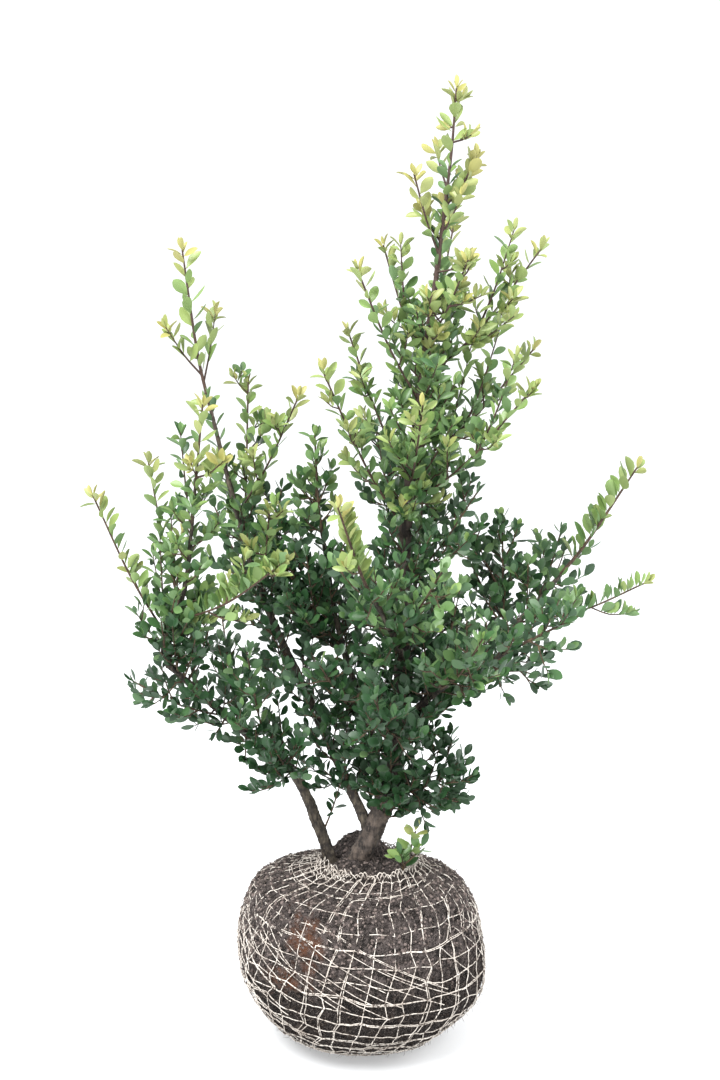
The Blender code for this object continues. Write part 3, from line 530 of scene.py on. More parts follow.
# Sprays in centimetres: name, carrier, height where the stem leaves it (None: at its tip), the
# point that its last leaf reaches, the reach of its side twigs, how many it has, how young its
# leaves are from 0 (old, dark) to 1 (new, yellow), and long shoots as (share of stem, tip).
Spray = namedtuple("Spray", "name carrier height tip reach twigs youth shoots", defaults=((),))
SPRAYS = (
    Spray("leader_top", "trunk", None, (7.8, 0, 82.8), 2, 0, 1.0),
    Spray("top_right", "trunk", 72.6, (10.0, 2, 77.2), 2, 0, 1.0),
    Spray("top_left", "trunk", 68.8, (4.1, -2, 76.0), 2, 0, 1.0),
    Spray("upper_front", "trunk", 61.5, (8.8, -5.4, 69.2), 3, 1, 0.9),
    Spray("upper_back", "trunk", 62.5, (8.2, 6.2, 72.0), 3, 1, 0.9),
    Spray("upper_right", "trunk", 58.2, (15.3, -1, 70.0), 4, 2, 0.85),
    Spray("upper_left", "trunk", 59.6, (1.7, 3, 70.2), 3, 1, 0.8),
    Spray("upper_left_front", "trunk", 56.6, (-0.5, -3.4, 68.4), 3, 1, 0.8),
    Spray("leader_back", "trunk", 53.4, (5.0, 8.6, 64.5), 4, 2, 0.6),
    Spray("middle_right", "trunk", 51.0, (15.4, 3.6, 61.4), 4, 2, 0.75),
    Spray("lower_right", "trunk", 47.6, (14.4, -4.4, 58.8), 4, 2, 0.7),
    Spray("leader_back_right", "trunk", 48.6, (11.6, 8.2, 57.0), 4, 2, 0.5),
    Spray("middle_left", "trunk", 49.6, (-1.3, 3.4, 63.0), 4, 2, 0.75),
    Spray("lower_left", "trunk", 45.6, (-3.4, -3.2, 60.4), 4, 2, 0.75),
    Spray("leader_front", "trunk", 49.0, (5.0, -8.6, 58.0), 4, 1, 0.7),
    Spray("leader_back_low", "trunk", 43.6, (1.2, 9.6, 54.0), 4, 2, 0.35),
    Spray("leader_right_low", "trunk", 40.6, (10.4, 0.4, 49.6), 5, 3, 0.3),
    Spray("left_leader_top", "left_leader", None, (-15.2, 5, 69.8), 3, 0, 0.95,
          ((0.15, (-16.9, 3.6, 63.2)), (0.1, (-12.4, 7.4, 64.4)))),
    Spray("left_inner_tall", "left_leader", 46.2, (-4.9, 3, 57.4), 3, 1, 0.8),
    Spray("left_back_tall", "left_leader", 44.0, (-9.9, 9.4, 58.0), 4, 2, 0.7),
    Spray("left_inner_dark", "left_leader", 37.4, (-6.8, 4.8, 49.2), 4, 2, 0.25),
    Spray("left_back", "left_leader", 36.0, (-13.6, 10.8, 46.5), 5, 3, 0.35),
    Spray("left_front", "left_leader", 39.6, (-7.4, -3.6, 48.6), 3, 1, 0.75),
    Spray("riser_top", "left_riser", None, (-12.5, -6, 58.0), 3, 0, 0.95,
          ((0.1, (-10.4, -9, 53.4)),)),
    Spray("far_left", "left_riser", 37.4, (-22.4, -3, 50.0), 3, 1, 0.85),
    Spray("left_upright", "left_riser", 40.0, (-18.0, 0.4, 52.4), 3, 1, 0.8),
    Spray("riser_right", "left_riser", 38.6, (-5.4, -11, 45.8), 4, 2, 0.7),
    Spray("low_left", "left_stem", 29.4, (-19.8, -3.6, 33.8), 4, 2, 0.15,
          ((0.3, (-16.4, 1.4, 28.2)),)),
    Spray("left_inner", "left_stem", 26.2, (-9.4, -6.4, 37.4), 5, 3, 0.3),
    Spray("left_stem_back", "left_stem", 28.2, (-12.6, 8.4, 36.4), 5, 3, 0.2),
    Spray("base_left", "left_stem", 23.4, (-7.4, -5.2, 28.4), 4, 2, 0.1),
    Spray("middle_top", "middle_stem", None, (-3.9, 2, 54.4), 3, 1, 0.55),
    Spray("middle_left_low", "middle_stem", 34.0, (-6.4, 0.4, 43.0), 4, 2, 0.2),
    Spray("middle_back", "middle_stem", 31.5, (-2.6, 11.2, 41.5), 5, 3, 0.2),
    Spray("middle_front", "middle_stem", 27.8, (-3.6, -6.2, 36.0), 5, 3, 0.15),
    Spray("front_top", "front_bough", None, (-1.9, -14, 51.0), 3, 1, 0.9),
    Spray("front_side", "front_bough", 37.8, (6.8, -11.6, 45.4), 4, 2, 0.5),
    Spray("front_low", "trunk", 27.4, (1.0, -11.4, 34.6), 5, 3, 0.15),
    Spray("right_arm_top", "right_arm", None, (24.6, 5, 51.0), 4, 1, 0.8),
    Spray("right_side", "right_arm", 36.8, (25.3, 0.4, 41.4), 4, 2, 0.6),
    Spray("right_bottom", "right_arm", 34.6, (17.4, 7.2, 30.4), 4, 2, 0.1),
    Spray("right_shelf", "right_arm", 35.6, (12.6, 6.6, 46.4), 5, 3, 0.3),
    Spray("right_back", "right_arm", 38.6, (18.6, 11.2, 44.0), 5, 3, 0.35),
    Spray("right_low_tip", "right_low_arm", None, (18.6, -7.4, 40.6), 4, 3, 0.3),
    Spray("front_right", "right_low_arm", 32.6, (9.8, -12.8, 40.0), 5, 3, 0.4),
    Spray("low_right", "trunk", 21.8, (9.8, -2.4, 26.0), 4, 3, 0.1),
    Spray("back_top", "back_bough", None, (6.0, 13.6, 50.0), 5, 3, 0.35),
    Spray("back_low", "back_bough", 34.8, (8.4, 12.4, 35.0), 4, 3, 0.15),
    Spray("foot_sprout", "root_ball", None, (5.0, -2.6, 20.4), 1, 0, 0.6),
)
SPROUT_FOOT = Vector((3.6, -1.8, 0)) * CM

# The photograph's camera: its height, its distance, how far it looks down, and its lens.
CAMERA_HEIGHT = 74.9 * CM
CAMERA_DISTANCE = 141 * CM
CAMERA_TILT = math.radians(12)
LENS_MM = 56.59
SENSOR_MM = 36.0

# The soft light: each lamp's place, width and power, what they point at, and the pale surround.
Lamp = namedtuple("Lamp", "name place width power")
LAMPS = (
    Lamp("broad_light", (-0.9, -1.2, 2.4), 1.7, 122),
    Lamp("side_light", (1.6, -0.6, 1.6), 1.4, 34),
)
LIT_POINT = (0, 0, 0.4)
SURROUND = (0.98, 0.99, 1.0, 1)
SURROUND_STRENGTH = 1.22

# The floor reaches this far each way, and lies a hair below the ball's foot.
FLOOR_REACH = 8.0
FLOOR_GAP = 0.2 * MM

# Values that the points of a host object carry, and that its piece no longer needs.
OWN_ATTRIBUTES = ("radius", "along", "face", "size", "shape", "underside", "depth")

Leaf = namedtuple("Leaf", "root along face length tone shape")

# What grows together: the node that it stands for, if any, how young it is, its wood and leaves.
Growth = namedtuple("Growth", "node youth woods leaves")


def clamped(value, low=0.0, high=1.0):
    """The value, or the end that it has passed."""
    return min(max(value, low), high)


class Path:
    """A smooth line through a few points, cut into short straight stretches."""

    def __init__(self, knots, spacing=PATH_STEP):
        knots = [Vector(knot) for knot in knots]
        ends = [2 * knots[0] - knots[1], *knots, 2 * knots[-1] - knots[-2]]
        self.points = [knots[0]]
        for before, start, end, after in zip(ends, ends[1:], ends[2:], ends[3:]):
            steps = max(1, round((end - start).length / spacing))
            for step in range(1, steps + 1):
                self.points.append(self.between(before, start, end, after, step / steps))
        self.walked = [0.0]
        for start, end in pairwise(self.points):
            self.walked.append(self.walked[-1] + (end - start).length)
        self.length = self.walked[-1]
        self.sides = self.carried_sides()

    def carried_sides(self):
        """A vector square to each stretch, carried along the line without any twist."""
        heading = (self.points[1] - self.points[0]).normalized()
        side = heading.cross(UP)
        side = side if side.length > SIDELESS else heading.orthogonal()
        sides = []
        for start, end in pairwise(self.points):
            heading = (end - start).normalized()
            side = (side - heading * side.dot(heading)).normalized()
            sides.append(side)
        return sides

    @staticmethod
    def between(before, start, end, after, t):
        """A point a share t of the way from start to end, on a curve that eases through both."""
        lean = (end - before) * t
        curve = (2 * before - 5 * start + 4 * end - after) * t**2
        twist = (3 * start - before - 3 * end + after) * t**3
        return start + (lean + curve + twist) / 2

    def place(self, distance):
        """The stretch that holds this distance, and the share of it that is walked."""
        stretch = int(np.searchsorted(self.walked, distance, side="right")) - 1
        stretch = clamped(stretch, 0, len(self.points) - 2)
        size = self.walked[stretch + 1] - self.walked[stretch]
        return stretch, (distance - self.walked[stretch]) / size

    def at(self, distance):
        """The point at a distance along the line."""
        stretch, share = self.place(distance)
        return self.points[stretch].lerp(self.points[stretch + 1], share)

    def heading(self, distance):
        """The line's direction at a distance along it."""
        stretch, _ = self.place(distance)
        return (self.points[stretch + 1] - self.points[stretch]).normalized()

    def outward(self, distance, turn):
        """The direction square to the line at a turn round it."""
        stretch, _ = self.place(distance)
        return Quaternion(self.heading(distance), turn) @ self.sides[stretch]

    def distance_at_height(self, height):
        """How far along a line that climbs this height is."""
        return float(np.interp(height, [point.z for point in self.points], self.walked))


class Wood:
    """A limb's or twig's path with its thickness, and how far a point is from its bark."""

    def __init__(self, path, thick, thin, flare=0.0):
        self.path = path
        self.thick = thick
        self.thin = thin
        self.flare = flare
        points = np.array(path.points)
        self.starts = points[:-1]
        self.runs = points[1:] - points[:-1]

    def radius(self, distance):
        """The radius at a distance from the foot, where it swells."""
        share = clamped(distance / self.path.length)
        swell = self.flare * math.exp(-max(distance, 0.0) / (SWELL_FADE * self.thick))
        return (self.thick + (self.thin - self.thick) * share) * (1 + swell)

    def clearance(self, point):
        """How far a point is from the bark: below 0 inside it."""
        gaps = segment_gaps(point, self.starts, self.runs)
        return gaps.min() - self.radius(self.path.walked[int(gaps.argmin())])


def segment_gaps(point, starts, runs):
    """How far a point is from each of many straight stretches."""
    offset = np.array(point) - starts
    share = np.clip((offset * runs).sum(axis=1) / (runs**2).sum(axis=1), 0, 1)
    return np.linalg.norm(offset - runs * share[:, None], axis=1)


def foot_on(carrier, height):
    """Where a stem starts: on the carrier's axis at a height, or at its tip."""
    path = carrier.path
    if height is None:
        return path.points[-1]
    return path.at(path.distance_at_height(height * CM))


def grow_limbs():
    """The trunk, the stems and the boughs, each on its carrier."""
    woods = {}
    for limb in LIMBS:
        knots = [Vector(point) * CM for point in limb.through]
        flare = FOOT_FLARE
        if limb.carrier != "root_ball":
            knots.insert(0, foot_on(woods[limb.carrier], limb.height))
            flare = 0.0 if limb.height is None else COLLAR_SWELL
        woods[limb.name] = Wood(Path(knots), limb.thick * MM, limb.thin * MM, flare)
    return woods


def stem_end(foot, tip):
    """The stem stops short of the spray's tip, because its last leaves reach on to it."""
    return tip - (tip - foot).normalized() * STEM_SHORT


def sagging(start, end):
    """The middle between two points, a little below their line."""
    middle = (start + end) / 2
    return middle - UP * STEM_SAG * (end - start).length


def tip_stem(carrier, tip):
    """A stem that goes on from its carrier's tip, first in the carrier's own direction."""
    foot = foot_on(carrier, None)
    end = stem_end(foot, tip)
    third = (end - foot) / 3
    lead = carrier.path.heading(carrier.path.length) * third.length
    return Wood(Path([foot, foot + (third + lead) / 2, end]), carrier.thin, TWIG_THICK)


def side_stem(foot, tip):
    """A stem from its carrier's side, thicker the longer it is."""
    end = stem_end(foot, tip)
    thick = STEM_THICK + STEM_GAIN * (end - foot).length
    return Wood(Path([foot, sagging(foot, end), end]), thick, TWIG_THICK, COLLAR_SWELL)


def spray_stem(spray, woods):
    """A spray's stem, from what carries it to the spray's tip."""
    tip = Vector(spray.tip) * CM
    if spray.carrier == "root_ball":
        return side_stem(SPROUT_FOOT + UP * BALL_TOP, tip)
    if spray.height is None:
        return tip_stem(woods[spray.carrier], tip)
    return side_stem(foot_on(woods[spray.carrier], spray.height), tip)


def long_shoots(stem, shoots):
    """The long shoots on a stem, each from a share of the stem's length to its own tip."""
    woods = []
    for share, tip in shoots:
        foot = stem.path.at(stem.path.length * share)
        end = stem_end(foot, Vector(tip) * CM)
        path = Path([foot, sagging(foot, end), end])
        woods.append(Wood(path, TWIG_THICK * SHOOT_THICKER, TWIG_THIN))
    return woods


def twig_wood(stem, distance, turn, reach):
    """A side twig that leaves a stem at a turn round it, and bends a little upward."""
    heading = stem.path.heading(distance)
    outward = stem.path.outward(distance, turn)
    way = (heading * math.cos(TWIG_LEAN) + outward * math.sin(TWIG_LEAN)).normalized()
    foot = stem.path.at(distance)
    middle = foot + way * reach / 2
    end = foot + (way + UP * TWIG_LIFT).normalized() * reach
    return Wood(Path([foot, middle, end]), TWIG_THICK, TWIG_THIN)


class Spaces:
    """Which spray each point in the crown belongs to: the one whose stems are nearest."""

    def __init__(self, skeletons, limbs):
        self.names = list(skeletons)
        woods = [wood for name in self.names for wood in skeletons[name]]
        self.starts = np.concatenate([wood.starts for wood in woods])
        self.runs = np.concatenate([wood.runs for wood in woods])
        sizes = [sum(len(wood.starts) for wood in skeletons[name]) for name in self.names]
        self.owners = np.repeat(range(len(self.names)), sizes)
        self.limbs = limbs

    def holds(self, name, point):
        """Whether a point is nearer to this spray's stems than to any other's."""
        gaps = segment_gaps(point, self.starts, self.runs)
        own = self.owners == self.names.index(name)
        return gaps[own].min() < gaps[~own].min()

    def near(self, point):
        """Whether a point lies within the sprays' reach."""
        return segment_gaps(point, self.starts, self.runs).min() < INNER_NEAR

    def clear(self, point):
        """Whether a point is off the soil and outside every limb."""
        if point.z < BALL_TOP + OFF_SOIL and math.hypot(point.x, point.y) < BALL_RADIUS:
            return False
        return all(limb.clearance(point) > OFF_BARK for limb in self.limbs)

    def takes(self, name, points):
        """Whether all of these points are in a spray's space and clear."""
        return all(self.holds(name, point) and self.clear(point) for point in points)


def fitting_twig(name, stem, distance, turn, reach, spaces):
    """A list with the first twig, of a few turned on round the stem, that fits its space."""
    for attempt in range(TWIG_TRIES):
        twig = twig_wood(stem, distance, turn + attempt * TWIG_TRY_TURN, reach)
        samples = [twig.path.at(twig.path.length * share) for share in TWIG_SAMPLES]
        if spaces.takes(name, samples):
            return [twig]
    return []


def along_pair(pair, share):
    """The value this share of the way from the first of a pair to the second."""
    first, second = pair
    return first + (second - first) * share


def finer_twigs(parent, youth, spacings, reaches, spaces, rng):
    """The short twigs along a stem or twig, which the solids leave out."""
    twigs = []
    turn = rng.uniform(0, math.tau)
    usual = along_pair(reaches, youth)
    distance = FINE_FOOT
    while distance < parent.path.length - usual / 3:
        share = distance / parent.path.length
        reach = usual * rng.uniform(*FINE_REACHES) * (1 - FINE_LOSS * share)
        twig = twig_wood(parent, distance, turn, reach)
        if spaces.clear(twig.path.points[-1]):
            twigs.append(twig)
        turn += GOLDEN_TURN
        distance += along_pair(spacings, youth**2) * rng.uniform(*FINE_SPACINGS)
    return twigs


def leaf_on(wood, distance, turn, lean, length, tone, shape, stands, rng):
    """A leaf at a turn round the shoot. If that slants, it turns to the sides and is raised."""
    heading = wood.path.heading(distance)
    outward = wood.path.outward(distance, turn)
    upper_side = UP - heading * heading.z
    lift = STANDING_LIFT if stands else LEAF_LIFT
    if stands:
        below = min(outward.dot(upper_side), 0.0) / max(upper_side.length_squared, SIDELESS)
        outward = outward - upper_side * 2 * below
    else:
        outward = outward - upper_side * outward.dot(upper_side) * LEAF_RANKS
    along = heading * math.cos(lean) + outward * math.sin(lean) + upper_side * lift
    along.normalize()
    face = heading + UP * LEAF_UPWARD
    face = (face - along * along.dot(face)).normalized()
    face = Quaternion(along, rng.gauss(0, LEAF_SWAY)) @ face
    root = wood.path.at(distance) + outward * wood.radius(distance) * LEAF_SEAT
    return Leaf(root, along, face, length, tone, shape)


def leaf_tone(youth, from_tip, rng):
    """How young a leaf is, from 0 for the oldest to 1 for one that has just opened."""
    fresh = math.exp(-from_tip / TIP_FADE)
    glow = TIP_GLOW if youth > BRIGHT_SHOOT else TIP_GLOW * youth / 2
    return clamped(youth * LEAF_GLOW + glow * fresh + rng.gauss(0, TONE_SPREAD), 0.0, 0.999)


def leaf_kinds(youth, name):
    """The lengths and leans of the leaves in a tuft, their shapes, and those of the others."""
    if name in BROAD_SPRAYS:
        return BROAD_LENGTHS, BROAD_LEANS, OLD_SHAPES, OLD_SHAPES
    if youth > NEW_WOOD:
        return TUFT_LENGTHS, TUFT_LEANS, YOUNG_SHAPES, GROWN_SHAPES
    return TUFT_LENGTHS[:OLD_TUFT], TUFT_LEANS, OLD_SHAPES, OLD_SHAPES


def shoot_leaves(wood, first, youth, spaces, rng, name=""):
    """The leaves along a shoot by the golden turn, and the tuft of narrow ones at its tip."""
    leaves = []
    turn = rng.uniform(0, math.tau)
    lengths, leans, tip_shapes, shapes = leaf_kinds(youth, name)
    for k, (usual, lean) in enumerate(zip(lengths, leans)):
        from_tip = k * TUFT_SPACING
        length = usual * rng.uniform(*TUFT_SIZES)
        tone = leaf_tone(youth, from_tip, rng)
        distance = wood.path.length - from_tip
        shape = rng.choice(tip_shapes)
        leaves.append(leaf_on(wood, distance, turn, lean, length, tone, shape, False, rng))
        turn += GOLDEN_TURN
    pitch = along_pair(LEAF_PITCH, youth) * CLOSE_LEAVES.get(name, 1)
    distance = wood.path.length - len(lengths) * TUFT_SPACING - pitch / 2
    stands = name in STANDING_LEAVES
    usual = along_pair(LEAF_LENGTH, youth) * LONG_LEAVES.get(name, 1)
    while distance > first:
        length = usual * rng.uniform(*LEAF_SIZES)
        lean = along_pair(LEAF_LEAN, youth) + rng.gauss(0, LEAF_SWAY / 4)
        tone = leaf_tone(youth, wood.path.length - distance, rng)
        shape = rng.choice(shapes)
        leaves.append(leaf_on(wood, distance, turn, lean, length, tone, shape, stands, rng))
        turn += GOLDEN_TURN
        distance -= pitch * rng.uniform(*LEAF_PITCHES)
    samples = [leaf.root + leaf.along * leaf.length * LEAF_SAMPLE for leaf in leaves]
    return [leaf for leaf, sample in zip(leaves, samples) if spaces.clear(sample)]


def leafy(woods, youth, spaces, rng, name=""):
    """The leaves on many short twigs, which are bare near their feet."""
    leaves = []
    for wood in woods:
        first = max(LEAF_PITCH[0], TWIG_BARE * wood.path.length)
        leaves += shoot_leaves(wood, first, youth, spaces, rng, name)
    return leaves


def grow_spray(spray, skeleton, spaces):
    """The stems, twigs and leaves of one spray."""
    rng = random.Random(spray.name)
    stem = skeleton[0]
    twigs = skeleton[1:]
    turn = rng.uniform(0, math.tau)
    for k in range(spray.twigs):
        share = k / spray.twigs
        distance = stem.path.length * (TWIG_FIRST + TWIG_SPAN * share)
        reach = spray.reach * CM * rng.uniform(*TWIG_REACHES) * (1 - TWIG_LOSS * share)
        twigs += fitting_twig(spray.name, stem, distance, turn, reach, spaces)
        turn += GOLDEN_TURN
    twigs += long_shoots(stem, FINER_SHOOTS.get(spray.name, ()))
    fine = []
    if spray.name not in SLENDER:
        side_spacing, fine_spacing = (
            tuple(spacing * AIRY.get(spray.name, 1) for spacing in pair)
            for pair in (SIDE_SPACING, FINE_SPACING)
        )
        twigs += finer_twigs(stem, spray.youth, side_spacing, SIDE_REACH, spaces, rng)
        for parent in twigs:
            fine += finer_twigs(parent, spray.youth, fine_spacing, FINE_REACH, spaces, rng)
    bare = STEM_BARE * stem.path.length
    leaves = shoot_leaves(stem, bare, spray.youth, spaces, rng, spray.name)
    shoots = len(skeleton) - 1
    leaves += leafy(twigs[:shoots], spray.youth, spaces, rng)
    leaves += leafy(twigs[shoots:], spray.youth * TWIG_YOUTH, spaces, rng, spray.name)
    leaves += leafy(fine, spray.youth * FINE_YOUTH, spaces, rng)
    return [stem, *twigs, *fine], leaves


def inner_youth(height, inner):
    """How young the twigs straight on a limb are at a height."""
    youth = (height - INNER_OLD_HEIGHT) / (INNER_NEW_HEIGHT - INNER_OLD_HEIGHT)
    return clamped(youth + inner.fresher, INNER_OLDEST, INNER_NEWEST)


def grow_inner_twigs(name, limb, spaces):
    """The leafy twigs straight on a limb, older the lower they are."""
    rng = random.Random(name + " twigs")
    inner = INNER_TWIGS[name]
    woods, leaves = [], []
    turn = rng.uniform(0, math.tau)
    distance = FINE_FOOT
    while distance < limb.path.length:
        height = limb.path.at(distance).z
        youth = inner_youth(height, inner)
        reach = inner.reach * CM * rng.uniform(*INNER_REACHES) * (1 - INNER_LOSS * youth)
        twig = twig_wood(limb, distance, turn, reach)
        end = twig.path.points[-1]
        if inner.low * CM < height < inner.high * CM and spaces.near(end) and spaces.clear(end):
            fine = finer_twigs(twig, youth, FINE_SPACING, FINE_REACH, spaces, rng)
            woods += [twig, *fine]
            leaves += leafy([twig, *fine], youth, spaces, rng)
        turn += GOLDEN_TURN
        distance += inner.spacing * CM * rng.uniform(*INNER_SPACINGS)
    for shoot in long_shoots(limb, FINER_SHOOTS.get(name, ())):
        height = shoot.path.points[-1].z
        at_top = height > INNER_NEW_HEIGHT
        shoot_youth = TOP_SHOOT_YOUTH if at_top else inner_youth(height, inner)
        woods.append(shoot)
        leaves += shoot_leaves(shoot, TWIG_BARE * shoot.path.length, shoot_youth, spaces, rng)
    return woods, leaves + slender_end_leaves(limb, inner, spaces, rng)


def slender_end_leaves(limb, inner, spaces, rng):
    """The leaves straight on a limb, towards its tip where it is slender."""
    bare = limb.path.length
    while bare > 0 and limb.radius(bare) < LEAFY_RADIUS:
        bare -= LEAF_PITCH[0]
    youth = inner_youth(limb.path.points[-1].z, inner)
    return shoot_leaves(limb, bare + LEAF_PITCH[0], youth, spaces, rng)


class Value:
    """One output of a node, so that shader maths reads as arithmetic."""

    def __init__(self, nodes, socket):
        self.nodes = nodes
        self.socket = socket

    def out(self, name):
        """Another output of the same node."""
        return Value(self.nodes, self.socket.node.outputs[name])

    def maths(self, operation, first, second):
        """The result of a maths node on two values."""
        return self.nodes.add("ShaderNodeMath", {"operation": operation}, {0: first, 1: second})

    def __add__(self, other):
        return self.maths("ADD", self, other)

    def __radd__(self, other):
        return self.maths("ADD", other, self)

    def __sub__(self, other):
        return self.maths("SUBTRACT", self, other)

    def __rsub__(self, other):
        return self.maths("SUBTRACT", other, self)

    def __mul__(self, other):
        return self.maths("MULTIPLY", self, other)

    def __rmul__(self, other):
        return self.maths("MULTIPLY", other, self)


class Nodes:
    """Adds nodes to a tree, each in one call."""

    def __init__(self, tree):
        self.tree = tree
        tree.nodes.clear()

    def add(self, kind, settings=None, sockets=None):
        """A node of this kind: its settings are set first, then its sockets' values or links."""
        node = self.tree.nodes.new(kind)
        for name, setting in (settings or {}).items():
            setattr(node, name, setting)
        for name, given in (sockets or {}).items():
            if isinstance(given, Value):
                self.tree.links.new(given.socket, node.inputs[name])
            else:
                node.inputs[name].default_value = given
        return Value(self, node.outputs[0]) if node.outputs else None

    def mix(self, share, first, second):
        """A colour that goes from first to second with share."""
        first, second = ((*c, 1) if isinstance(c, tuple) else c for c in (first, second))
        sockets = {"Factor": share, 6: first, 7: second}
        mixed = self.add("ShaderNodeMix", {"data_type": "RGBA"}, sockets)
        return Value(self, mixed.socket.node.outputs[2])

    def place(self):
        """Where a point of the surface lies, in the object's own coordinates."""
        return self.add("ShaderNodeTexCoord").out("Object")

    def climb(self, low, span):
        """0 at a height, 1 a span above it, and on at the same rate."""
        height = self.add("ShaderNodeSeparateXYZ", {}, {"Vector": self.place()}).out("Z")
        return height * (1 / span) - low / span

    def speckle(self, size, detail, stretch=(1, 1, 1), twisted=0.0):
        """Noise with patches of this size."""
        scaled = self.add("ShaderNodeMapping", {}, {"Vector": self.place(), "Scale": stretch})
        sockets = {"Vector": scaled, "Scale": 1 / size, "Detail": detail, "Distortion": twisted}
        return self.add("ShaderNodeTexNoise", {}, sockets)

    def bump(self, height, strength, distance):
        """The surface's normal, tilted by a height."""
        sockets = {"Height": height, "Strength": strength, "Distance": distance}
        return self.add("ShaderNodeBump", {}, sockets)


def new_material(name, paint):
    """A material whose paint function returns the shader's sockets."""
    made = bpy.data.materials.new(name)
    made.use_nodes = True
    nodes = Nodes(made.node_tree)
    shader = nodes.add("ShaderNodeBsdfPrincipled", {}, paint(nodes))
    nodes.add("ShaderNodeOutputMaterial", {}, {"Surface": shader})
    return made


def bark_finish(name):
    """Rough bark: two browns in long streaks and blotches, with dark cracks, redder high up."""
    dark, light, crack_size = BARKS[name]

    def paint(nodes):
        blotches = nodes.speckle(crack_size * 6, 3.0)
        streaks = nodes.speckle(crack_size * 2.2, 5.0, (1, 1, 0.4))
        cracks = nodes.speckle(crack_size, 4.0, (1, 1, 0.35))
        wood = nodes.mix(streaks * 2.6 + blotches * 2.2 - 2.1, dark, light)
        wood = nodes.mix(nodes.climb(YOUNG_WOOD, YOUNG_WOOD_SPAN), wood, YOUNG_BARK)
        cracked = nodes.mix(cracks * 5 - 2.9, wood, tuple(part * 1.4 for part in light))
        return {
            "Base Color": nodes.mix(2.4 - cracks * 6, cracked, tuple(part * 0.5 for part in dark)),
            "Roughness": 0.6 + cracks * 0.4,
            "Normal": nodes.bump(cracks + streaks, 0.9, 0.9 * MM),
        }

    return new_material(name, paint)


def leaf_finish(shade):
    """A glossy leaf in one plain colour, its surface a little uneven."""

    def paint(nodes):
        grain = nodes.speckle(2.5 * MM, 2.0)
        return {
            "Base Color": (*shade.colour, 1),
            "Roughness": shade.matt - 0.12 + grain * 0.16,
            "Specular IOR Level": 0.4,
            "Normal": nodes.bump(grain, 0.25, 0.3 * MM),
        }

    return new_material(f"{shade.name}_leaf", paint)


def leaf_back_finish(shade):
    """The underside: paler and greyer than the upper face, and matt."""
    pale = tuple(0.02 + 1.15 * part for part in shade.colour)

    def paint(nodes):
        grain = nodes.speckle(2 * MM, 2.0)
        return {"Base Color": (*pale, 1), "Roughness": 0.5 + grain * 0.2}

    return new_material(f"{shade.name}_leaf_back", paint)


def soil_finish():
    """Grey-brown soil, darker low on the ball, with painted shade in its hollows and between its
    crumbs, pale hairs, and rusty clay at front left.
    """

    def paint(nodes):
        depth = nodes.add("ShaderNodeAttribute", {"attribute_name": "depth"}).out("Fac")
        crumbs = nodes.speckle(1.7 * MM, 4.0)
        hairs = nodes.speckle(1.3 * MM, 2.0, twisted=2.5)
        clods = nodes.speckle(22 * MM, 4.0)
        paleness = nodes.climb(LOW_SOIL_HEIGHT, LOW_SOIL_FADE) + clods - 0.5
        crust = nodes.mix(paleness, LOWER_SOIL, UPPER_SOIL)
        # Painted shade: near black where the soil lies low among its clods and crumbs, by its
        # depth.
        ground = nodes.mix(depth * 1.5 + 0.1, HOLLOW_SHADE, crust)
        # Painted shade: near-black specks between the crumbs, where the crumbs' bumps are low.
        ground = nodes.mix(4.1 - crumbs * 8.4, ground, CRUMB_GAP_SHADE)
        ground = nodes.mix(rusty(nodes), ground, RUSTY_CLAY)
        ground = nodes.mix(hairs * 10 - 5.6, ground, SOIL_HAIRS)
        return {
            "Base Color": ground,
            "Roughness": 0.85 + crumbs * 0.15,
            "Specular IOR Level": 0.2,
            "Normal": nodes.bump(crumbs + hairs, 1.0, 3 * MM),
        }

    return new_material("damp_soil", paint)


def rusty(nodes):
    """Above 0 in the patches of rusty clay on the ball's front left, with ragged rims."""
    place = nodes.place()
    shares = []
    for middle, size in RUST_PATCHES:
        shift = nodes.add("ShaderNodeVectorMath", {"operation": "SUBTRACT"}, {0: place, 1: middle})
        scaled = nodes.add("ShaderNodeVectorMath", {"operation": "DIVIDE"}, {0: shift, 1: size})
        away = nodes.add("ShaderNodeVectorMath", {"operation": "LENGTH"}, {0: scaled}).out("Value")
        shares.append(2.9 - away * 1.5)
    return shares[0].maths("MAXIMUM", *shares) - nodes.speckle(9 * MM, 5.0) * 3.6


def fibre_finish():
    """Fine roots, some dark and some pale."""

    def paint(nodes):
        shade = nodes.speckle(9 * MM, 2.0)
        return {
            "Base Color": nodes.mix(shade * 1.8 - 0.4, DARK_ROOT, PALE_ROOT),
            "Roughness": 0.8 + shade * 0.15,
        }

    return new_material("root_fibre", paint)


def crumb_finish():
    """Loose crumbs, darker low on the ball and paler above."""

    def paint(nodes):
        shade = nodes.speckle(4 * MM, 4.0)
        paleness = nodes.climb(LOW_SOIL_HEIGHT, LOW_SOIL_FADE) + shade * 4.0 - 2.3
        return {
            "Base Color": nodes.mix(paleness, LOWER_CRUMB, UPPER_CRUMB),
            "Roughness": 0.85 + shade * 0.15,
            "Specular IOR Level": 0.2,
            "Normal": nodes.bump(shade, 0.8, 1 * MM),
        }

    return new_material("soil_crumb", paint)


def twine_finish():
    """Undyed natural twine, cream with soil rubbed into it and painted shade between its plies."""

    def paint(nodes):
        dirt = nodes.speckle(16 * MM, 5.0)
        plies = nodes.speckle(2.2 * MM, 1.0)
        twine = nodes.mix(dirt * 2.2 - 0.85, CLEAN_TWINE, SOILED_TWINE)
        # Painted shade in the grooves between the twine's plies.
        return {
            "Base Color": nodes.mix(plies * 7 - 3.5, twine, GROOVE_SHADE),
            "Roughness": 0.75 + plies * 0.2,
            "Normal": nodes.bump(plies, 0.8, 0.4 * MM),
        }

    return new_material("natural_twine", paint)


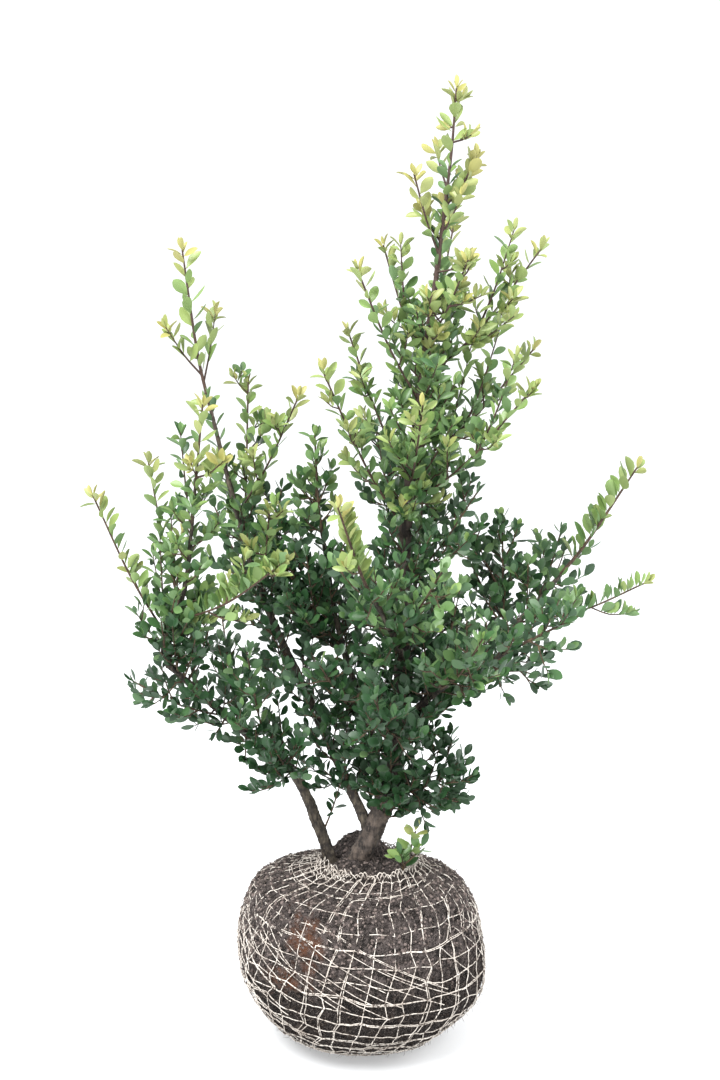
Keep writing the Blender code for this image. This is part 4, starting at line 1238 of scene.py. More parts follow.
def floor_finish():
    """A white floor that glows a little, so that it runs on into the pale surround."""

    def paint(nodes):
        sheen = nodes.speckle(0.6, 2.0)
        return {
            "Base Color": (*WHITE_FLOOR, 1),
            "Roughness": 0.5 + sheen * 0.1,
            "Emission Color": (1.0, 1.0, 1.0, 1),
            "Emission Strength": FLOOR_GLOW,
        }

    return new_material("white_floor", paint)


def new_tree(name, inputs):
    """A geometry node tree with a geometry input and these others, and its builder."""
    tree = bpy.data.node_groups.new(name, "GeometryNodeTree")
    tree.interface.new_socket("Geometry", in_out="INPUT", socket_type="NodeSocketGeometry")
    for label, kind in inputs.items():
        tree.interface.new_socket(label, in_out="INPUT", socket_type=kind)
    tree.interface.new_socket("Geometry", in_out="OUTPUT", socket_type="NodeSocketGeometry")
    nodes = Nodes(tree)
    return tree, nodes, nodes.add("NodeGroupInput")


def end_tree(nodes, geometry):
    """Realises the instances, which the export would drop, and shades them smooth."""
    real = nodes.add("GeometryNodeRealizeInstances", {}, {"Geometry": geometry})
    return nodes.add("GeometryNodeSetShadeSmooth", {}, {"Geometry": real})


def set_finish(nodes, geometry, finish, only=None):
    """Gives the geometry a finish, or only the faces of a selection."""
    sockets = {"Geometry": geometry, "Material": finish}
    if only is not None:
        sockets["Selection"] = only
    return nodes.add("GeometryNodeSetMaterial", {}, sockets)


def named(nodes, name, kind):
    """The value of this name that each point carries."""
    return nodes.add("GeometryNodeInputNamedAttribute", {"data_type": kind}, {"Name": name})


def tube_tree():
    """Sweeps a round section, as thick as the points' radius says, along each run of edges."""
    inputs = {"Sides": "NodeSocketInt", "Finish": "NodeSocketMaterial"}
    tree, nodes, given = new_tree("tubes", inputs)
    lines = nodes.add("GeometryNodeMeshToCurve", {}, {"Mesh": given.out("Geometry")})
    round_section = {"Resolution": given.out("Sides"), "Radius": 1.0}
    section = nodes.add("GeometryNodeCurvePrimitiveCircle", {}, round_section)
    sweep = {
        "Curve": lines,
        "Profile Curve": section,
        "Scale": named(nodes, "radius", "FLOAT"),
        "Fill Caps": True,
    }
    tubes = nodes.add("GeometryNodeCurveToMesh", {}, sweep)
    dressed = set_finish(nodes, end_tree(nodes, tubes), given.out("Finish"))
    nodes.add("NodeGroupOutput", {}, {"Geometry": dressed})
    return tree


def leaf_tree():
    """Puts a leaf on each point, turned and sized by the point's own values."""
    inputs = {
        "Leaves": "NodeSocketCollection",
        "Upper finish": "NodeSocketMaterial",
        "Lower finish": "NodeSocketMaterial",
    }
    tree, nodes, given = new_tree("leaves", inputs)
    leaves = nodes.add("GeometryNodeCollectionInfo", {}, {
        "Collection": given.out("Leaves"),
        "Separate Children": True,
        "Reset Children": True,
    })
    axes = {
        "Primary Axis": named(nodes, "along", "FLOAT_VECTOR"),
        "Secondary Axis": named(nodes, "face", "FLOAT_VECTOR"),
    }
    turned = {"primary_axis": "Z", "secondary_axis": "Y"}
    scatter = {
        "Points": given.out("Geometry"),
        "Instance": leaves,
        "Pick Instance": True,
        "Instance Index": named(nodes, "shape", "INT"),
        "Rotation": nodes.add("FunctionNodeAxesToRotation", turned, axes),
        "Scale": named(nodes, "size", "FLOAT"),
    }
    placed = nodes.add("GeometryNodeInstanceOnPoints", {}, scatter)
    real = nodes.add("GeometryNodeRealizeInstances", {}, {"Geometry": placed})
    upper = set_finish(nodes, real, given.out("Upper finish"))
    lower = named(nodes, "underside", "BOOLEAN")
    dressed = set_finish(nodes, upper, given.out("Lower finish"), lower)
    nodes.add("NodeGroupOutput", {}, {"Geometry": dressed})
    return tree


def varied(nodes, given, limits):
    """A vector of its own for each point, between two limits."""
    least, most = limits
    sockets = {"Min": least, "Max": most, "Seed": given.out("Seed")}
    return nodes.add("FunctionNodeRandomValue", {"data_type": "FLOAT_VECTOR"}, sockets)


def scatter_tree():
    """Scatters copies of a small object over the soil, each tilted and sized on its own."""
    inputs = {
        "Scattered": "NodeSocketObject",
        "Density": "NodeSocketFloat",
        "Seed": "NodeSocketInt",
        "Finish": "NodeSocketMaterial",
    }
    tree, nodes, given = new_tree("scattered", inputs)
    place = nodes.add("GeometryNodeInputPosition")
    height = nodes.add("ShaderNodeSeparateXYZ", {}, {"Vector": place}).out("Z")
    above = {"data_type": "FLOAT", "operation": "GREATER_THAN"}
    off_floor = nodes.add("FunctionNodeCompare", above, {0: height, 1: STREWN_ABOVE})
    spots = nodes.add("GeometryNodeDistributePointsOnFaces", {}, {
        "Mesh": given.out("Geometry"),
        "Selection": off_floor,
        "Density": given.out("Density"),
        "Seed": given.out("Seed"),
    })
    scattered = {"Object": given.out("Scattered")}
    blank = nodes.add("GeometryNodeObjectInfo", {}, scattered).out("Geometry")
    tilts = ((-STREWN_TILT, -STREWN_TILT, 0.0), (STREWN_TILT, STREWN_TILT, math.tau))
    tilt = nodes.add("FunctionNodeEulerToRotation", {}, {"Euler": varied(nodes, given, tilts)})
    turned = {"Rotation": spots.out("Rotation"), "Rotate By": tilt}
    sizes = [(size, size, size) for size in STREWN_SIZES]
    placed = nodes.add("GeometryNodeInstanceOnPoints", {}, {
        "Points": spots,
        "Instance": blank,
        "Rotation": nodes.add("FunctionNodeRotateRotation", {}, turned),
        "Scale": varied(nodes, given, sizes),
    })
    dressed = set_finish(nodes, end_tree(nodes, placed), given.out("Finish"))
    nodes.add("NodeGroupOutput", {}, {"Geometry": dressed})
    return tree


def knot_tree():
    """Puts a small lump on each point, where two strands of twine are tied."""
    inputs = {"Size": "NodeSocketFloat", "Finish": "NodeSocketMaterial"}
    tree, nodes, given = new_tree("knots", inputs)
    ball_shape = {"Radius": given.out("Size"), "Subdivisions": 1}
    lump = nodes.add("GeometryNodeMeshIcoSphere", {}, ball_shape)
    placed = {"Points": given.out("Geometry"), "Instance": lump}
    lumps = nodes.add("GeometryNodeInstanceOnPoints", {}, placed)
    dressed = set_finish(nodes, end_tree(nodes, lumps), given.out("Finish"))
    nodes.add("NodeGroupOutput", {}, {"Geometry": dressed})
    return tree


def new_object(name, data):
    """An object in the scene."""
    made = bpy.data.objects.new(name, data)
    bpy.context.scene.collection.objects.link(made)
    return made


def new_mesh(name, points, edges=(), faces=()):
    """A mesh of points, edges and faces."""
    mesh = bpy.data.meshes.new(name)
    mesh.from_pydata([tuple(point) for point in points], edges, faces)
    return mesh


def grown(name, host, tree, inputs):
    """The plain mesh object that a tree makes from a host object, which is then removed."""
    modifier = host.modifiers.new("grow", "NODES")
    modifier.node_group = tree
    for item in tree.interface.items_tree:
        if item.in_out == "INPUT" and item.name in inputs:
            modifier[item.identifier] = inputs[item.name]
    host.update_tag()
    graph = bpy.context.evaluated_depsgraph_get()
    mesh = bpy.data.meshes.new_from_object(host.evaluated_get(graph))
    mesh.name = name
    bpy.data.objects.remove(host)
    for attribute in [a.name for a in mesh.attributes if a.name in OWN_ATTRIBUTES]:
        mesh.attributes.remove(mesh.attributes[attribute])
    return new_object(name, mesh)


def add_values(mesh, name, kind, values):
    """Stores one value for each point of a mesh."""
    attribute = mesh.attributes.new(name, kind, "POINT")
    field = "vector" if kind == "FLOAT_VECTOR" else "value"
    attribute.data.foreach_set(field, np.array(values).reshape(-1))


def line_host(lines):
    """A host object with runs of edges: each line is its points, radii and whether it closes."""
    points, radii, edges = [], [], []
    for line, thickness, closes in lines:
        first = len(points)
        points += line
        radii += list(thickness)
        edges += [(k, k + 1) for k in range(first, len(points) - 1)]
        if closes:
            edges.append((len(points) - 1, first))
    mesh = new_mesh("lines", points, edges)
    add_values(mesh, "radius", "FLOAT", radii)
    return new_object("lines", mesh)


def hand_over(piece, slot, *nodes):
    """Every piece rides on the one body and stands for its solids, which are hidden. The slot is
    not used.
    """
    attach(piece, "root")
    if nodes:
        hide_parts(*nodes)


def skin(name, rings, finish):
    """A closed skin through rings of points, each end drawn to its middle."""
    rows, columns = rings.shape[:2]
    points = [*rings.reshape(-1, 3), rings[0].mean(axis=0), rings[-1].mean(axis=0)]
    sides = [(k, (k + 1) % columns) for k in range(columns)]
    last = (rows - 1) * columns
    faces = []
    for low in range(0, last, columns):
        high = low + columns
        faces += [(low + k, low + after, high + after, high + k) for k, after in sides]
    for k, after in sides:
        faces.append((after, k, rows * columns))
        faces.append((last + k, last + after, rows * columns + 1))
    mesh = new_mesh(name, points, [], faces)
    mesh.shade_smooth()
    mesh.materials.append(finish)
    return new_object(name, mesh)


def bark_relief(wood, distance, turn):
    """How far the bark stands out, as a share of the limb's radius."""
    radius = wood.radius(distance)
    round_limb = Vector((math.cos(turn), math.sin(turn), 0)) * radius / BARK_RIDGE
    furrow = 1 - 2 * abs(noise.noise(round_limb + UP * distance / BARK_FURROW))
    lump = noise.noise(round_limb * 0.35 + UP * distance / (2 * BARK_FURROW))
    grain = noise.noise(round_limb * 2.5 + UP * distance / (0.25 * BARK_FURROW))
    return BARK_DEPTH * (FURROW_PART * furrow + LUMP_PART * lump + GRAIN_PART * grain)


def bark_knots(name, wood):
    """Where the bark has knots and old twig scars: how far along, and the turn round the limb."""
    rng = random.Random(name + " knots")
    knots = []
    distance = rng.uniform(0, KNOT_SPACING)
    while distance < wood.path.length:
        knots.append((distance, rng.uniform(0, math.tau), rng.uniform(0.4, 1.0)))
        distance += KNOT_SPACING * rng.uniform(0.5, 1.5)
    return knots


def knot_rise(knots, wood, distance, turn):
    """How far the nearby knots lift the bark, as a share of the limb's radius."""
    radius = wood.radius(distance)
    rise = 0.0
    for place, side, size in knots:
        if abs(place - distance) < 3 * radius:
            across = math.remainder(turn - side, math.tau)
            away = math.hypot((place - distance) / radius, across) / (KNOT_SPREAD * size)
            rise += KNOT_RISE * size * math.exp(-(away**2))
    return rise


def bark_rings(name, wood, start):
    """Rings of bark along a limb, from a start that may lie inside its carrier."""
    knots = bark_knots(name, wood)
    count = round((wood.path.length - start) / BARK_STEP)
    distances = np.linspace(start, wood.path.length, count)
    rings = np.empty((count, BARK_SIDES, 3))
    for row, distance in enumerate(distances):
        middle = wood.path.at(distance)
        youth = clamped((middle.z - YOUNG_WOOD) / YOUNG_WOOD_SPAN)
        radius = wood.radius(distance) * (1 - YOUNG_SLIMNESS * youth)
        for k in range(BARK_SIDES):
            turn = math.tau * k / BARK_SIDES
            relief = bark_relief(wood, distance, turn) + knot_rise(knots, wood, distance, turn)
            rings[row, k] = middle + wood.path.outward(distance, turn) * radius * (1 + relief)
    return rings


def join(name, pieces):
    """One object from several."""
    bpy.ops.object.select_all(action="DESELECT")
    for piece in pieces:
        piece.select_set(True)
    bpy.context.view_layer.objects.active = pieces[0]
    bpy.ops.object.join()
    pieces[0].name = name
    return pieces[0]


def build_bark(woods):
    """The trunk and the boughs in bark, which swell into what carries them."""
    rings = bark_rings("trunk", woods["trunk"], -TRUNK_DEPTH)
    hand_over(skin("trunk_with_bark", rings, bark_finish("trunk_bark")), "bark", "trunk")
    names = [limb.name for limb in LIMBS if limb.name != "trunk"]
    finish = bark_finish("bough_bark")
    boughs = []
    for name in names:
        rings = bark_rings(name, woods[name], -woods[name].thick)
        boughs.append(skin(name, rings, finish))
    hand_over(join("boughs_with_bark", boughs), "bark", *names)


def build_twigs(growths, tree):
    """All stems and twigs, the reddish young ones apart from the browner old ones."""
    for age, is_young in (("young", True), ("old", False)):
        found = [growth for growth in growths if (growth.youth >= YOUNG_SPRAY) == is_young]
        lines = [twig_line(wood) for growth in found for wood in growth.woods]
        inputs = {"Sides": TWIG_SIDES, "Finish": bark_finish(f"{age}_twig")}
        twigs = grown(f"{age}_twigs", line_host(lines), tree, inputs)
        hand_over(twigs, "twig", *[growth.node for growth in found if growth.node])


def twig_line(wood):
    """A twig as an open line with its radii."""
    radii = [wood.radius(distance) for distance in wood.path.walked]
    return wood.path.points, radii, False


def leaf_half_width(share, shape):
    """Half the blade's width a share of the way along, narrowed to a stalk at its root."""
    blade = max(share - LEAF_STALK, 0.0) / (1 - LEAF_STALK)
    outline = math.sin(math.pi * blade**shape.rounding) ** LEAF_FULLNESS
    return LEAF_RIB + shape.width / 2 * outline


def leaf_faces(stations):
    """The faces of a leaf's two sides, from its root through rows of four points to its tip."""
    last = 4 * stations + 1
    upper, lower = [], []
    for first in range(1, last - 4, 4):
        left, rib, right, keel = range(first, first + 4)
        upper += [(rib, left, left + 4, rib + 4), (right, rib, rib + 4, right + 4)]
        lower += [(left, keel, keel + 4, left + 4), (keel, right, right + 4, keel + 4)]
    left, rib, right, keel = range(1, 5)
    upper += [(0, left, rib), (0, rib, right)]
    lower += [(0, keel, left), (0, right, keel)]
    left, rib, right, keel = range(last - 4, last)
    upper += [(rib, left, last), (right, rib, last)]
    lower += [(left, keel, last), (keel, right, last)]
    return upper, lower


def leaf_blank(index, shape, collection):
    """One leaf a unit long from its root along +Z, its upper face towards +Y."""
    points = [(0, 0, 0)]
    for share in LEAF_STATIONS:
        half = leaf_half_width(share, shape)
        back = -shape.bend * share**2
        rise = back + shape.edge_rise * half / (shape.width / 2)
        points += [(-half, rise, share), (0, back, share), (half, rise, share)]
        points.append((0, back - LEAF_RIB, share))
    points.append((0, -shape.bend, 1.0))
    upper, lower = leaf_faces(len(LEAF_STATIONS))
    mesh = new_mesh(f"leaf_{index}", points, [], upper + lower)
    mesh.shade_smooth()
    under = mesh.attributes.new("underside", "BOOLEAN", "FACE")
    under.data.foreach_set("value", [False] * len(upper) + [True] * len(lower))
    mark_rim(mesh, len(upper))
    made = bpy.data.objects.new(f"leaf_{index}", mesh)
    collection.objects.link(made)


def mark_rim(mesh, upper_faces):
    """Keeps the edge between a leaf's two faces sharp."""
    sides = {}
    for face in mesh.polygons:
        for key in face.edge_keys:
            sides.setdefault(key, set()).add(face.index < upper_faces)
    sharp = [len(sides[edge.key]) == 2 for edge in mesh.edges]
    rim = mesh.attributes.new("sharp_edge", "BOOLEAN", "EDGE")
    rim.data.foreach_set("value", sharp)


def leaf_blanks():
    """One leaf of each shape, out of sight, to make all leaves from."""
    collection = bpy.data.collections.new("leaf_blanks")
    for index, shape in enumerate(LEAF_SHAPES):
        leaf_blank(index, shape, collection)
    return collection


def leaf_host(leaves):
    """A host object with a point at each leaf's root, which carries the leaf's values."""
    mesh = new_mesh("leaf_points", [leaf.root for leaf in leaves])
    add_values(mesh, "along", "FLOAT_VECTOR", [leaf.along for leaf in leaves])
    add_values(mesh, "face", "FLOAT_VECTOR", [leaf.face for leaf in leaves])
    add_values(mesh, "size", "FLOAT", [leaf.length for leaf in leaves])
    add_values(mesh, "shape", "INT", [leaf.shape for leaf in leaves])
    return new_object("leaf_points", mesh)


def build_leaves(growths):
    """The leaves, one piece for each shade."""
    tree = leaf_tree()
    blanks = leaf_blanks()
    for index, shade in enumerate(LEAF_SHADES):
        leaves, nodes = [], []
        for growth in growths:
            found = [leaf for leaf in growth.leaves if int(leaf.tone * len(LEAF_SHADES)) == index]
            leaves += found
            nodes += [growth.node] if found and growth.node else []
        inputs = {
            "Leaves": blanks,
            "Upper finish": leaf_finish(shade),
            "Lower finish": leaf_back_finish(shade),
        }
        piece = grown(f"{shade.name}_leaves", leaf_host(leaves), tree, inputs)
        hand_over(piece, shade.slot, *nodes)
    for blank in list(blanks.objects):
        bpy.data.objects.remove(blank)


class Ball:
    """The ball's smooth surface, by the distance walked down it from its crown and a turn."""

    def __init__(self):
        self.side = Path([(radius * CM, 0, height * CM) for radius, height in BALL_SIDE], 4 * MM)
        self.length = self.side.length

    def outline(self, distance):
        """The ball's radius and height at a distance from its crown."""
        point = self.side.at(clamped(distance, 0.0, self.length))
        return point.x, point.z

    def distance_at_radius(self, radius):
        """How far from the crown the top has this radius."""
        top = [point.x for point in self.side.points if point.z > BALL_WAIST]
        return float(np.interp(radius, top, self.side.walked[: len(top)]))

    def place(self, distance, turn):
        """A point on the smooth surface and the direction out of it."""
        radius, height = self.outline(distance)
        ahead_radius, ahead_height = self.outline(distance + 2 * MM)
        back_radius, back_height = self.outline(distance - 2 * MM)
        out = Vector((back_height - ahead_height, ahead_radius - back_radius)).normalized()
        round_ball = Vector((math.cos(turn), math.sin(turn), 0))
        off_centre = clamped(1 - (radius - NECK_RADIUS) / NECK_FADE)
        middle = NECK_CENTRE * off_centre if height > BALL_WAIST else Vector()
        shift = np.interp(height / CM, *zip(*BALL_SHIFT)) * CM
        point = middle + round_ball * radius + Vector((float(shift), 0, height))
        point.z -= BACK_DROP * max(point.y, 0.0) * max(height / BALL_WAIST - 1, 0.0)
        return point, round_ball * out.x + UP * out.y


ball = Ball()


def coarse_relief(point):
    """How far the broad lumps alone stand out at a point."""
    size, depth = SOIL_LUMPS
    return depth * noise.noise(point / size)


def grains(point, grain):
    """How far rounded grains of one kind stand out at a point."""
    size, depth = grain
    return depth * (CELL_MIDDLE - noise.voronoi(point / size)[0][0])


def soil_relief(point):
    """How far the soil stands out at a point."""
    hollow, hollow_depth = SOIL_HOLLOWS
    lowness = clamped(1 - (point.z - LOW_SOIL_HEIGHT) / LOW_SOIL_FADE, UPPER_HOLLOWS)
    hollows = -hollow_depth * max(noise.noise(point / hollow) - HOLLOW_NOISE, 0.0) * lowness
    return coarse_relief(point) + hollows + grains(point, SOIL_CLODS) + grains(point, SOIL_CRUMBS)


def on_ball(distance, turn, lift, relief):
    """A point on the soil's relief, lifted off it; the foot stays flat on the floor."""
    point, out = ball.place(distance, turn)
    fade = min(point.z / FOOT_FADE, 1.0)
    point = point + out * (relief(point) * fade + lift)
    point.z = max(point.z, lift)
    return point


def mound(point):
    """How much higher the soil lies inside the neck, most behind the trunk's foot."""
    rise = 0.0
    for (x, y), radius, height in MOUNDS:
        away = math.hypot(point.x - x * CM, point.y - y * CM) / (radius * CM)
        rise += height * CM * max(1 - away**2, 0.0)
    return rise if point.z > BALL_WAIST else 0.0


def soil_point(distance, turn):
    """A point of the soil, which lies heaped inside the neck."""
    point = on_ball(distance, turn, 0.0, soil_relief)
    return point + UP * mound(point)


def build_soil():
    """The ball of soil, with lumps, clods and crumbs."""
    turns = [math.tau * k / SOIL_COLUMNS for k in range(SOIL_COLUMNS)]
    distances = np.arange(0.5 * MM, ball.length, SOIL_STEP)
    rings = [[soil_point(distance, turn) for turn in turns] for distance in distances]
    foot, _ = ball.outline(ball.length)
    for share in FOOT_RINGS:
        radius = foot * share
        rings.append([Vector((radius * math.cos(t), radius * math.sin(t), 0)) for t in turns])
    soil = skin("soil_ball", np.array(rings)[::-1], soil_finish())
    # Each point's depth, which the soil's finish turns into painted shade in the hollows.
    add_values(soil.data, "depth", "FLOAT", soil_depths(soil.data))
    hand_over(soil, "soil", "root_ball")
    return soil


def soil_depths(mesh):
    """How high each point stands out of the broad lumps, as a share of a crumb's depth."""
    depths = []
    for vertex in mesh.vertices:
        relief = soil_relief(vertex.co) - coarse_relief(vertex.co)
        depths.append(0.5 + relief / SOIL_CRUMBS[1])
    return depths


def build_fibres(soil, tubes, scatter):
    """Fine roots that stand out of the soil."""
    bend = FIBRE_BEND * FIBRE_LENGTH
    line = [(0, 0, 0), (bend, 0, FIBRE_LENGTH / 2), (0, bend, FIBRE_LENGTH)]
    radii = [FIBRE_RADIUS, FIBRE_RADIUS, FIBRE_RADIUS / 2]
    finish = fibre_finish()
    inputs = {"Sides": FIBRE_SIDES, "Finish": finish}
    blank = grown("fibre_blank", line_host([(line, radii, False)]), tubes, inputs)
    spread_over(soil, "root_fibres", blank, FIBRE_DENSITY, finish, scatter)


def build_crumbs(soil, scatter):
    """Crumbs that lie loose on the soil: rough lumps, each with its own tilt and size."""
    mesh = bpy.data.meshes.new("crumb_blank")
    lump = bmesh.new()
    bmesh.ops.create_icosphere(lump, subdivisions=1, radius=CRUMB_RADIUS)
    for corner in lump.verts:
        corner.co *= 1 + CRUMB_ROUGHNESS * noise.noise(corner.co / CRUMB_RADIUS * 3)
        corner.co.z *= CRUMB_FLATNESS
    lump.to_mesh(mesh)
    lump.free()
    blank = new_object("crumb_blank", mesh)
    spread_over(soil, "soil_crumbs", blank, CRUMB_DENSITY, crumb_finish(), scatter)


def spread_over(soil, name, blank, density, finish, scatter):
    """A piece of many copies of a small object, scattered over the soil."""
    host = new_object("soil_host", soil.data.copy())
    inputs = {"Scattered": blank, "Density": density, "Seed": STREWN_SEED, "Finish": finish}
    piece = grown(name, host, scatter, inputs)
    bpy.data.objects.remove(blank)
    hand_over(piece, "soil")


def net_rows():
    """How far down the ball each row of the net runs: close in the collar, then wider."""
    distance = ball.distance_at_radius(NECK_RADIUS)
    rows = [distance]
    for gap in COLLAR_GAPS:
        distance += gap
        rows.append(distance)
    first, last = distance, ball.length - NET_FOOT
    while distance < last:
        share = (distance - first) / (last - first)
        distance += NET_GAP_TOP + (NET_GAP_FOOT - NET_GAP_TOP) * min(2 * share, 1.0)
        rows.append(distance)
    return rows


def tied_net(rows, rng):
    """Where the net is tied: the distance down and the turn of each knot, row by row."""
    first, last = rows[0], rows[-1]
    knots = []
    for row, distance in enumerate(rows):
        share = (distance - first) / (last - first)
        slack = math.sin(math.pi * share)
        in_collar = row <= len(COLLAR_GAPS)
        stray = NET_STRAY * (COLLAR_STRAY if in_collar else 1.0)
        ring = []
        for column in range(NET_COLUMNS):
            turn = math.tau * column / NET_COLUMNS + NET_TWIST * share
            tilt = NET_TILT * math.cos(turn - NET_TILT_TURN) * slack
            wander = rng.gauss(0, stray / 2) / BALL_RADIUS
            fall = distance + tilt + rng.gauss(0, stray / 2)
            ring.append((min(fall, ball.length - NET_END), turn + wander * 1.5))
        knots.append(ring)
    return knots


def net_lift(distance):
    """How far the twine lies off the soil: half buried at the top, bridging hollows below."""
    share = clamped((distance - ball.length * NET_LOOSE) / (ball.length * NET_LOOSENING))
    rim = clamped(1 - (distance - ball.distance_at_radius(NECK_RADIUS)) / COLLAR_DEPTH)
    return (TWINE_RADIUS + NET_CLEAR) * share - BURIED * (1 - share) + COLLAR_RISE * rim


def twine_point(distance, turn, rise=0.0):
    """A point of the net, which follows the soil's broad lumps and waves in and out of it."""
    point = on_ball(distance, turn, net_lift(distance), coarse_relief)
    size, depth = BURIED_WAVE
    _, out = ball.place(distance, turn)
    wave = depth * noise.noise(point / size) * min(point.z / FOOT_FADE, 1.0)
    return point + out * wave + UP * rise


def around(ring, loop=0.0):
    """Points along a row of the net, from knot to knot and closed."""
    points = []
    for start, end in zip(ring, [*ring[1:], ring[0]]):
        uneven = loop * (1 + LOOPS_VARY * math.sin(LOOP_WAVES * start[1]))
        points += strand(start, end, STRAND_STEPS, uneven)
    return points


def down(column):
    """Points along a column of the net, from knot to knot."""
    return [point for start, end in pairwise(column) for point in strand(start, end)]


def gathered(sides, below, rng):
    """Points along slack twine that lies in small uneven loops beside the neck."""
    distance = ball.distance_at_radius(NECK_RADIUS) + below * MM
    first, last = (math.radians(side) for side in sides)
    run = last - first
    count = round(run * NECK_RADIUS / GATHER_LOOP)
    turns = [first + run * k / count + rng.gauss(0, GATHER_TURN) for k in range(count + 1)]
    knots = [(distance + rng.gauss(0, GATHER_STRAY), turn) for turn in turns]
    points = []
    for start, end in pairwise(knots):
        points += strand(start, end, STRAND_STEPS, rng.uniform(*GATHER_RISES) * MM)
    return points


def doubled(knots, rng):
    """The knots of a second strand beside a row or column, which wanders off it a little."""
    gap = rng.choice((-1, 1)) * rng.uniform(*SECOND_GAPS) * MM
    wander = rng.uniform(0, math.tau)
    beside = []
    for k, (distance, turn) in enumerate(knots):
        aside = gap * (0.6 + 0.6 * math.sin(wander + k * 0.7))
        fall = min(distance + aside, ball.length - NET_END)
        beside.append((fall, turn + aside / BALL_RADIUS))
    return beside


def strand(start, end, steps=STRAND_STEPS, loop=0.0):
    """Points along a stretch of twine from one knot up to the next, taut or looped upward."""
    (first, first_turn), (last, last_turn) = start, end
    if abs(last_turn - first_turn) > math.pi:
        last_turn += math.copysign(math.tau, first_turn - last_turn)
    points = []
    for step in range(steps):
        share = step / steps
        rise = loop * math.sin(math.pi * share)
        distance = first + (last - first) * share - rise / 3
        turn = first_turn + (last_turn - first_turn) * share
        points.append(twine_point(distance, turn, rise))
    return points


def twine(points, closes, share=1.0):
    """A line of twine, given the share of the usual thickness that it has."""
    return points, [TWINE_RADIUS * share] * len(points), closes


def net_lines(knots, rng):
    """The rows and columns through the knots, some of them with a second strand beside them."""
    loops = [COLLAR_LOOP, COLLAR_LOOP / 3] + [0.0] * len(knots)
    shares = [RIM_THICKER, *[1.0] * len(knots)]
    lines = [
        twine(around(ring, loop), True, share)
        for ring, loop, share in zip(knots, loops, shares)
    ]
    second_rim = [(distance + 1 * MM, turn + 0.08) for distance, turn in knots[0]]
    lines.append(twine(around(second_rim, COLLAR_LOOP), True))
    columns = list(zip(*knots))
    lines += [twine(down(column), False) for column in columns]
    for runs, along, closes in ((knots, around, True), (columns, down, False)):
        for run in runs:
            if rng.random() < NET_DOUBLES:
                lines.append(twine(along(doubled(run, rng)), closes, SECOND_TWINE))
    return lines


def build_net(tubes):
    """The twine net: a collar of small cells, knotted meshes and loose slanting strands."""
    rng = random.Random("twine net")
    knots = tied_net(net_rows(), rng)
    lines = net_lines(knots, rng)
    lines += [twine(gathered(sides, below, rng), False) for sides, below in GATHERS]
    lines += slanting_strands(rng)
    finish = twine_finish()
    net = grown("net_strands", line_host(lines), tubes, {"Sides": TWINE_SIDES, "Finish": finish})
    places = new_mesh("ties", [twine_point(*knot) for ring in knots for knot in ring])
    inputs = {"Size": TIE_RADIUS, "Finish": finish}
    ties = grown("net_ties", new_object("ties", places), knot_tree(), inputs)
    hand_over(join("twine_net", [net, ties]), "twine", "root_ball_net")


def slanting_strands(rng):
    """Loose strands that cross the meshes on a slant, in groups that run side by side."""
    lines = []
    for count, sides, downs, fall, sweep in NET_SLANTS:
        for k in range(count):
            share = k / (count - 1)
            side = along_pair(sides, share) + rng.uniform(-SLANT_TURN, SLANT_TURN)
            turn = math.radians(side)
            stray = rng.uniform(-SLANT_STRAY, SLANT_STRAY) * MM
            distance = ball.length * along_pair(downs, share) + stray
            run = rng.uniform(*SLANT_RUNS)
            last = min(distance + fall * CM * run, ball.length - 3 * MM)
            end = (last, turn + math.radians(sweep) * run)
            lines.append(twine(strand((distance, turn), end, SLANT_STEPS), False, SECOND_TWINE))
    return lines


def build_stage():
    """The floor, wide enough to fill the picture."""
    far, low = FLOOR_REACH, -FLOOR_GAP
    corners = [(-far, -far, low), (far, -far, low), (far, far, low), (-far, far, low)]
    mesh = new_mesh("floor", corners, [], [(0, 1, 2, 3)])
    mesh.materials.append(floor_finish())
    new_object("floor", mesh)


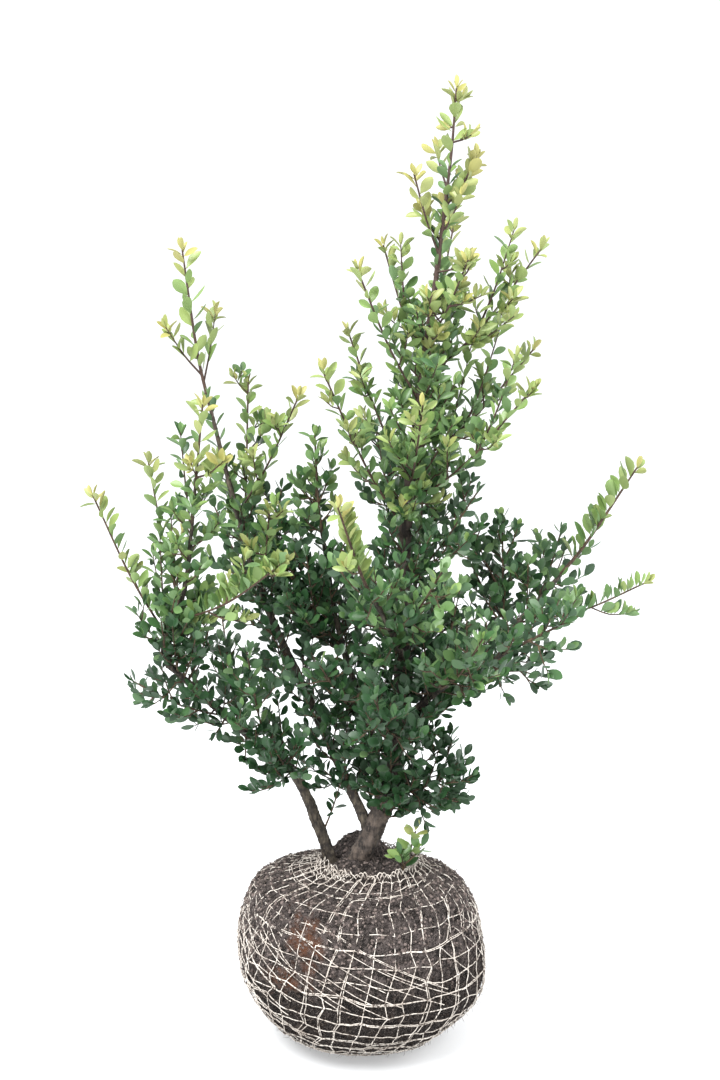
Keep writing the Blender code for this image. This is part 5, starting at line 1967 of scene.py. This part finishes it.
def add_lamp(lamp):
    """A round lamp that points at the shrub's middle."""
    light = bpy.data.lights.new(lamp.name, "AREA")
    light.shape = "DISK"
    light.size = lamp.width
    light.energy = lamp.power
    made = new_object(lamp.name, light)
    made.location = lamp.place
    ray = Vector(LIT_POINT) - Vector(lamp.place)
    made.rotation_euler = ray.to_track_quat("-Z", "Y").to_euler()


def build_light():
    """Soft studio light: a pale surround, a broad light above left and a weaker one at right."""
    world = bpy.data.worlds.new("surround")
    bpy.context.scene.world = world
    world.use_nodes = True
    background = world.node_tree.nodes["Background"]
    background.inputs["Color"].default_value = SURROUND
    background.inputs["Strength"].default_value = SURROUND_STRENGTH
    for lamp in LAMPS:
        add_lamp(lamp)
    bpy.context.scene.view_settings.view_transform = "Standard"


def build_camera():
    """The camera, where the photograph was taken from."""
    camera = bpy.data.cameras.new("camera")
    camera.sensor_fit = "VERTICAL"
    camera.sensor_height = SENSOR_MM
    camera.lens = LENS_MM
    made = new_object("camera", camera)
    made.location = (0, -CAMERA_DISTANCE, CAMERA_HEIGHT)
    made.rotation_euler = (math.pi / 2 - CAMERA_TILT, 0, 0)
    bpy.context.scene.camera = made


def grow_crown(limbs):
    """All that grows on the limbs: the sprays, and then the leafy twigs straight on each limb."""
    skeletons = {}
    for spray in SPRAYS:
        stem = spray_stem(spray, limbs)
        skeletons[spray.name] = [stem, *long_shoots(stem, spray.shoots)]
    spaces = Spaces(skeletons, list(limbs.values()))
    growths = []
    for spray in SPRAYS:
        woods, leaves = grow_spray(spray, skeletons[spray.name], spaces)
        growths.append(Growth(spray.name, spray.youth, woods, leaves))
    for name, limb in limbs.items():
        woods, leaves = grow_inner_twigs(name, limb, spaces)
        growths.append(Growth("", 0.0, woods, leaves))
    return growths


def main():
    """Grows the shrub, dresses it and its ball, and sets the stage."""
    limbs = grow_limbs()
    growths = grow_crown(limbs)
    tubes = tube_tree()
    build_bark(limbs)
    build_twigs(growths, tubes)
    build_leaves(growths)
    soil = build_soil()
    scatter = scatter_tree()
    build_fibres(soil, tubes, scatter)
    build_crumbs(soil, scatter)
    build_net(tubes)
    build_stage()
    build_light()
    build_camera()


main()
